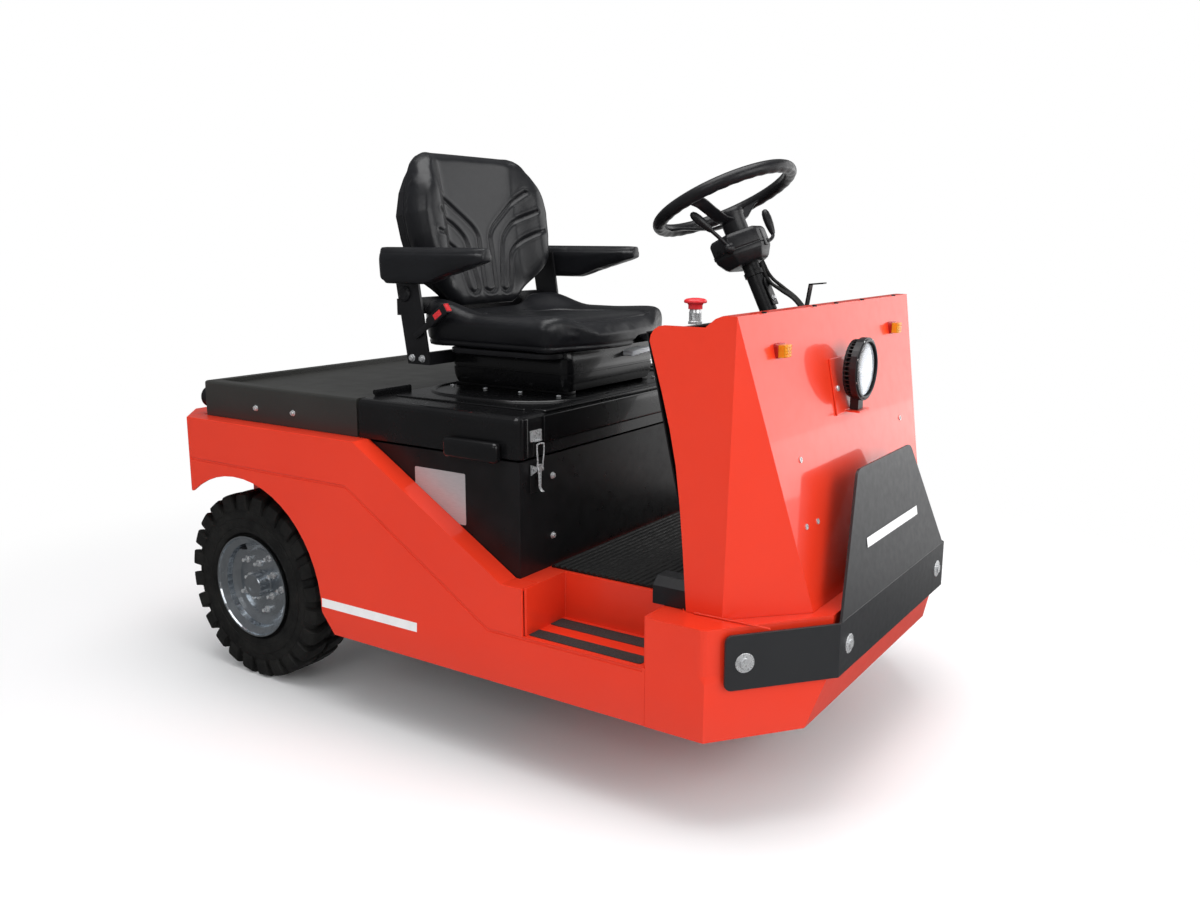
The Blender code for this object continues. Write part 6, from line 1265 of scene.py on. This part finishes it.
def makeStopButton():
    low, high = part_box("stop_button")
    middle = Vector(((low[0] + high[0]) / 2, (low[1] + high[1]) / 2, 0))
    radius = (high[0] - low[0]) / 2
    tall = high[2] - low[2]
    # (share of the radius, share of the height)
    profile = [
        (0, 0), (0.62, 0), (0.62, 0.35), (0.70, 0.5), (0.96, 0.56), (1, 0.64), (1, 0.74), (0.94, 0.84), (0.78, 0.93),
        (0.4, 0.995), (0, 1),
    ]
    ring = [middle + Vector((radius * share, 0, low[2] + tall * rise)) for share, rise in profile]
    cap = turnProfile(ring, middle, (0, 0, 1), 56)
    finishPiece(cap, "stop_mushroom", "stop_red", "chassis", 50)
    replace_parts(cap, "stop_button")
    low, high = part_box("stop_barrel")
    radius = (high[0] - low[0]) / 2
    foot = low[2]
    points = [(0, foot), (1, foot), (1, foot + 0.004), (0.9, foot + 0.005)]
    for index in range(6):
        z = foot + 0.006 + index * 0.0022
        points += [(0.86, z), (0.92, z + 0.0011)]
    points += [(0.86, foot + 0.0200), (0.8, high[2]), (0, high[2])]
    ring = [middle + Vector((radius * share, 0, z)) for share, z in points]
    barrel = turnProfile(ring, middle, (0, 0, 1), 40)
    finishPiece(barrel, "stop_sleeve", "bolt", "chassis", 40)
    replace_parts(barrel, "stop_barrel")


makeSteeringWheel()
makeSwitchHousing()
makeColumn()
makeCables()
makeStopButton()
print("controls made")


# Seat: suspension box, pan, handle, buckle and screws
def makeSeatBase():
    low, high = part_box("seat_base")
    middle = (low[0] + high[0]) / 2
    halfX, halfY = (high[0] - low[0]) / 2, (high[1] - low[1]) / 2
    foot, top = low[2], high[2]
    # a glossy cover with a groove round its middle, drawn in at the foot
    levels = [
        (0.006, 0.93), (0.0065, 0.955), (0.013, 0.975), (0.022, 0.99), (0.034, 0.997), (0.0405, 0.998),
        (0.0412, 0.988), (0.0438, 0.988), (0.0445, 0.998),
    ]
    levels = [(foot + z, size) for z, size in levels]
    levels += [(top - 0.0150, 1.0), (top - 0.0122, 0.99), (top - 0.0005, 0.985)]
    cover = stackLevels(roundedRing(halfX - 0.001, halfY - 0.001, 0.024, 7), levels)
    cover.data.transform(Matrix.Translation((middle, 0, 0)))
    finishPiece(cover, "suspension_cover", "hood", "seat_and_hood", 34)
    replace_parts(cover, "seat_base")
    rails, spots = [], []
    for side in (-1, 1):
        y = side * (halfY - 0.030)
        rails.append(softBlock((low[0] + 0.004, y - 0.012, foot), (high[0] - 0.010, y + 0.012, foot + 0.0062), 0.0012))
        for x in (low[0] + 0.020, low[0] + 0.110, high[0] - 0.110, high[0] - 0.014):
            spots.append(facing((x, side * (halfY + 0.012), foot + 0.0004), (0, 0, 1), x * 30))
    finishPiece(joinPieces(rails), "seat_rails", "black_steel", "seat_and_hood", 34)
    # the pan's turned-down edge under the cushion, up to the height handle
    rear = low[0] + 0.030
    reachX = (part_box("seat_adjuster")[0][0] - 0.002 - rear) / 2
    drops = [(0.0140, 0.93), (0.0134, 0.975), (0.0110, 0.997), (0.0090, 1.0), (0.0014, 1.0), (0.0004, 0.99)]
    pan = stackLevels(roundedRing(reachX, 0.214, 0.035), [(top - drop, size) for drop, size in drops])
    pan.data.transform(Matrix.Translation((rear + reachX, 0, 0)))
    finishPiece(pan, "seat_pan", "black_plastic", "seat_and_hood", 34)
    setPieces(makePanScrew(0.0046), spots, "rail_screws", "seat_and_hood")


def makeAdjuster():
    low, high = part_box("seat_adjuster")
    size = [b - a for a, b in zip(low, high)]
    handle = addBlock(low, high)
    openMesh(handle)
    selectAll()
    bpy.ops.mesh.subdivide(number_cuts=7)
    closeMesh()
    for vertex in handle.data.vertices:
        ahead, across, up = ((vertex.co[axis] - low[axis]) / size[axis] for axis in range(3))
        across = 2 * across - 1
        vertex.co.x -= 0.009 * abs(across) ** 3 * ahead
        vertex.co.z -= 0.005 * across ** 2 * up
        vertex.co.z += 0.006 * (1 - across ** 2) * (1 - up) * smoothStep(0.2, 0.9, ahead)
    roundEdges(handle, 0.0026, 3, 50)
    finishPiece(handle, "height_handle", "pale_grey", "seat_and_hood", 50)
    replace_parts(handle, "seat_adjuster")


def makeBuckle():
    low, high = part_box("belt_buckle")
    lean = math.radians(-35)
    halfLong, halfTall = 0.030, 0.011
    # the buckle's own middle, found back from the leaning box's outer corner
    reach = halfLong * math.cos(lean) + halfTall * abs(math.sin(lean))
    rise = halfLong * abs(math.sin(lean)) + halfTall * math.cos(lean)
    middle = Vector((high[0] - reach, (low[1] + high[1]) / 2, high[2] - rise))
    out = Matrix.Translation(middle) @ Matrix.Rotation(lean, 4, "Y")
    body = addBlock((-0.030, -0.0078, -0.0108), (0.027, 0.0078, 0.0108))
    openMesh(body)
    pick(body, "faces", lambda face: face.normal.x < -0.9)
    drawOut((-0.008, 0, 0))
    bpy.ops.transform.resize(value=(1, 0.55, 0.62), center_override=(-0.038, 0, 0))
    closeMesh()
    roundEdges(body, 0.0022, 3)
    strap = softBlock((-0.084, -0.0020, -0.0066), (-0.034, 0.0016, 0.0066), 0.0007)
    shell = joinPieces([body, strap])
    shell.data.transform(out)
    finishPiece(shell, "buckle_shell", "black_plastic", "seat_and_hood", 34)
    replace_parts(shell, "belt_buckle")
    button = addBlock((0.0135, -0.0066, -0.0088), (0.0290, 0.0066, 0.0088))
    openMesh(button)
    pick(button, "faces", lambda face: face.normal.x > 0.9)
    bpy.ops.mesh.inset(thickness=0.0018)
    drawOut((-0.0012, 0, 0))
    closeMesh()
    roundEdges(button, 0.0012, 2, 60)
    patch = softBlock((-0.010, -0.0081, -0.0058), (0.0128, -0.0070, 0.0058), 0.0004, 1)
    pair = joinPieces([button, patch])
    pair.data.transform(out)
    finishPiece(pair, "buckle_button", "stop_red", "seat_and_hood", 34)


def makeSeatFixings():
    spots, caps = [], []
    for side in (-1, 1):
        for x in (0.340, 0.312):
            spots.append(facing(at(x, side * 0.2422, 0.712), (0, side, 0), x * 40))
        caps.append(facing(at(0.296, side * 0.2424, 0.845), (0, side, 0)))
    setPieces(makeHexScrew(0.0062), spots, "seat_bracket_bolts", "seat_and_hood")
    cap = turnUpright([
        (0, 0), (0.016, 0), (0.016, 0.003), (0.0145, 0.005), (0.0105, 0.006), (0.0095, 0.0052), (0, 0.005),
    ], 32)
    setPieces(cap, caps, "recline_caps", "seat_and_hood", "black_plastic")


makeSeatBase()
makeAdjuster()
makeBuckle()
makeSeatFixings()
print("seat fitted out")


# Hood: pressed ridges, pod covers and the over-centre latch
def makeHoodDetails():
    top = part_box("rear_deck")[1][2]
    # the oval ridge pressed round the seat's foot
    path = [at(0.520 + x, y, top + 0.0006) for x, y in roundedRing(0.178, 0.292, 0.13, 8)]
    ridge = tube(path, 0.0062, 3, True, 3)
    for vertex in ridge.data.vertices:
        vertex.co.z = top - 0.0004 + max(0.0, (vertex.co.z - top) * 0.62)
    ledges = [
        ridge,
        softBlock(at(0.7020, -0.3420, top - 0.003), at(0.7325, 0.3420, top + 0.0030), 0.0042, 5),
        softBlock(at(0.7330, -0.3550, 0.5960), at(0.7392, 0.3550, 0.6480), 0.0050, 5),
    ]
    pods = []
    for side in (-1, 1):
        # beyond the latch's notch, along the top, and over the handle
        y0, y1 = sorted((side * 0.4010, side * 0.4190))
        ledges.append(softBlock(at(0.7330, y0, 0.574), at(0.7392, y1, 0.6480), 0.0042, 5))
        y = side * 0.352
        ledges.append(softBlock(at(0.372, y - 0.004, top - 0.001), at(0.690, y + 0.004, top + 0.0028), 0.002))
        y0, y1 = sorted((side * 0.4235, side * 0.4446))
        pods.append(softBlock(at(0.5700, y0, 0.5655), at(0.6975, y1, 0.6035), 0.0092, 5))
    finishPiece(joinPieces(ledges), "hood_mouldings", "hood", "seat_and_hood", 44)
    finishPiece(joinPieces(pods), "handle_pods", "hood", "seat_and_hood", 50)


def makeLatch(word, side):
    y = side * 0.378
    # the catch on the hood
    low, high = at(0.7364, y - 0.0165, 0.6035), at(0.7382, y + 0.0165, 0.6235)
    plate = softBlock(low, high, 0.0022, 3, chosen=edgeAlong(0, 0.001))
    lip = addBlock(at(0.7378, y - 0.0100, 0.6035), at(0.7440, y + 0.0100, 0.6052))
    heads = [facing(at(0.7382, y + shift, 0.616), (1, 0, 0)) for shift in (-0.009, 0.009)]
    catch = joinPieces([plate, lip, repeatPiece(makePanScrew(0.0030), heads)])
    finishPiece(catch, f"latch_catch_{word}", "bolt", "seat_and_hood", 34)
    base = softBlock(at(0.7315, y - 0.0120, 0.5080), at(0.7333, y + 0.0120, 0.5580), 0.0006, 1)
    finishPiece(base, f"latch_base_{word}", "black_steel", "chassis", 34)
    # the toggle: two cheeks, a wire loop, the lever and its pin
    parts = []
    for shift in (-1, 1):
        outline = [(0.7325, 0.5400), (0.7325, 0.5600), (0.7450, 0.5585), (0.7470, 0.5500)]
        parts.append(drawPlate([at(x, y + shift * 0.0095, z) for x, z in outline], (0, shift * 0.0014, 0)))
        wire = [(0.7455, 0.0076, 0.5535), (0.7470, 0.0082, 0.5680), (0.7475, 0.0102, 0.5860), (0.7472, 0.0100, 0.5990)]
        parts.append(tube([at(x, y + shift * across, z) for x, across, z in wire], 0.0014, 3))
    bow = [(-0.0104, 0.5985), (0, 0.6000), (0.0104, 0.5985)]
    parts.append(tube([at(0.7472, y + across, z) for across, z in bow], 0.0014, 3))
    outline = [(-0.0048, 0.5620), (0.0048, 0.5620), (0.0034, 0.5200), (-0.0034, 0.5200)]
    lever = drawPlate([at(0.7450, y + across, z) for across, z in outline], (0.0016, 0, 0))
    openMesh(lever)
    pick(lever, "faces", lambda face: face.normal.z < -0.9)
    drawOut((0.0030, 0, -0.0060))
    drawOut((0.0050, 0, -0.0020))
    closeMesh()
    roundEdges(lever, 0.0005, 1)
    outline = [(0, -0.0118), (0.0018, -0.0118), (0.0018, 0.0118), (0, 0.0118)]
    pin = turnProfile([(radius, across, 0) for radius, across in outline], (0, 0, 0), (0, 1, 0), 16)
    pin.data.transform(Matrix.Translation(at(0.7440, y, 0.5535)))
    latch = joinPieces([*parts, lever, pin])
    finishPiece(latch, f"latch_toggle_{word}", "bolt", "chassis", 40)
    return latch


makeHoodDetails()
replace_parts(makeLatch("right", -1), "hood_latch")
print("hood detailed")


# Step strips, blank plates and stripes, weld beads
def makeSteps():
    strips = []
    for side in (-1, 1):
        for near, far in ((0.4535, 0.4215), (0.3880, 0.3520)):
            y0, y1 = sorted((side * near, side * far))
            strip = softBlock(at(0.7720, y0, 0.2672), at(1.0080, y1, 0.2684), 0.006, 4, chosen=edgeAlong(2, 0.0005))
            roundEdges(strip, 0.0003, 1, 60)
            strips.append(strip)
    finishPiece(joinPieces(strips), "grit_strips", "grit", "chassis", 40)


def makePlates():
    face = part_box("battery_box")[0][1]
    low, high = at(0.4790, face - 0.0007, 0.4350), at(0.6040, face - 0.0001, 0.5330)
    plate = softBlock(low, high, 0.0025, 3, chosen=edgeAlong(1, 0.0003))
    finishPiece(plate, "blank_plate", "plate", "chassis", 30)
    film = 0.0003
    stripes = []
    face = -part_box("side_panel_right")[0][1]
    outline = [(0.2515, 0.2190), (0.5140, 0.2205), (0.5150, 0.2390), (0.2525, 0.2375)]
    for side in (-1, 1):
        stripes.append(drawPlate([at(x, side * face, z) for x, z in outline], (0, side * film, 0)))
    # the bar across the shield, which leans back over its fold
    fold = {"front": 1.2886, "height": 0.3463, "slope": 0.16, "half": 0.138}
    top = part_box("bumper_shield")[1][2]
    corners = []
    for y, drop in ((-1, 0.1365), (1, 0.1365), (1, 0.1195), (-1, 0.1195)):
        z = top - drop
        corners.append(at(fold["front"] - fold["slope"] * (z - fold["height"]), y * fold["half"], z))
    stripes.append(drawPlate(corners, (film, 0, 0)))
    finishPiece(joinPieces(stripes), "white_stripes", "plain_white", "chassis", 30)


def makeWelds():
    # short beads where the sheets meet, each a chain of small ripples
    look = {"ripple": 0.0003, "pitch": 0.004, "radius": 0.0016}
    runs = [
        ((1.0185, -0.3425, 0.2690), (1.0185, -0.3425, 0.3540)), ((0.7650, -0.3425, 0.2690), (0.7650, -0.3425, 0.3540)),
        ((1.0185, -0.3430, 0.3565), (1.0600, -0.4035, 0.3565)), ((1.0800, -0.4050, 0.3575), (1.2150, -0.4020, 0.3575)),
    ]
    beads = []
    for start, end in runs:
        for side in (1, -1):
            first, last = (at(x, y * side, z) for x, y, z in (start, end))
            steps = max(6, int((last - first).length / look["pitch"]))
            points = [first.lerp(last, step / steps) for step in range(steps + 1)]
            for step, spot in enumerate(points):
                spot.x += look["ripple"] * math.sin(step * 2.1)
            beads.append(tube(points, look["radius"], 2, False, 2))
    finishPiece(joinPieces(beads), "weld_beads", "body_red", "chassis", 60)


makeSteps()
makePlates()
makeWelds()
print("plates and strips laid")


# Rear: hitch bolts and pin ring
def makeHitchDetails():
    look = {"inset": 0.018, "across": 0.058, "faceBack": 0.0142, "ring": 0.017, "ringHigh": 0.016, "wire": 0.0024}
    low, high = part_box("tow_hitch")
    spots = []
    for y in (-look["across"], look["across"]):
        for z in (low[2] + look["inset"], high[2] - look["inset"]):
            spots.append(facing((high[0] - look["faceBack"], y, z), (-1, 0, 0), y * 40 + z * 9))
    setPieces(makeHexScrew(0.0095), spots, "hitch_bolts")
    pinLow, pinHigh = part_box("tow_pin")
    middle = middleOf(pinLow, pinHigh)
    ring = []
    for index in range(16):
        angle = math.tau * index / 16
        z = pinHigh[2] + look["ringHigh"] + look["ring"] * math.sin(angle)
        ring.append((middle.x, middle.y + look["ring"] * math.cos(angle), z))
    finishPiece(tube(ring, look["wire"], 3, True, 2), "pin_ring", "bolt", "chassis", 60)


makeHitchDetails()
print("rear detailed")
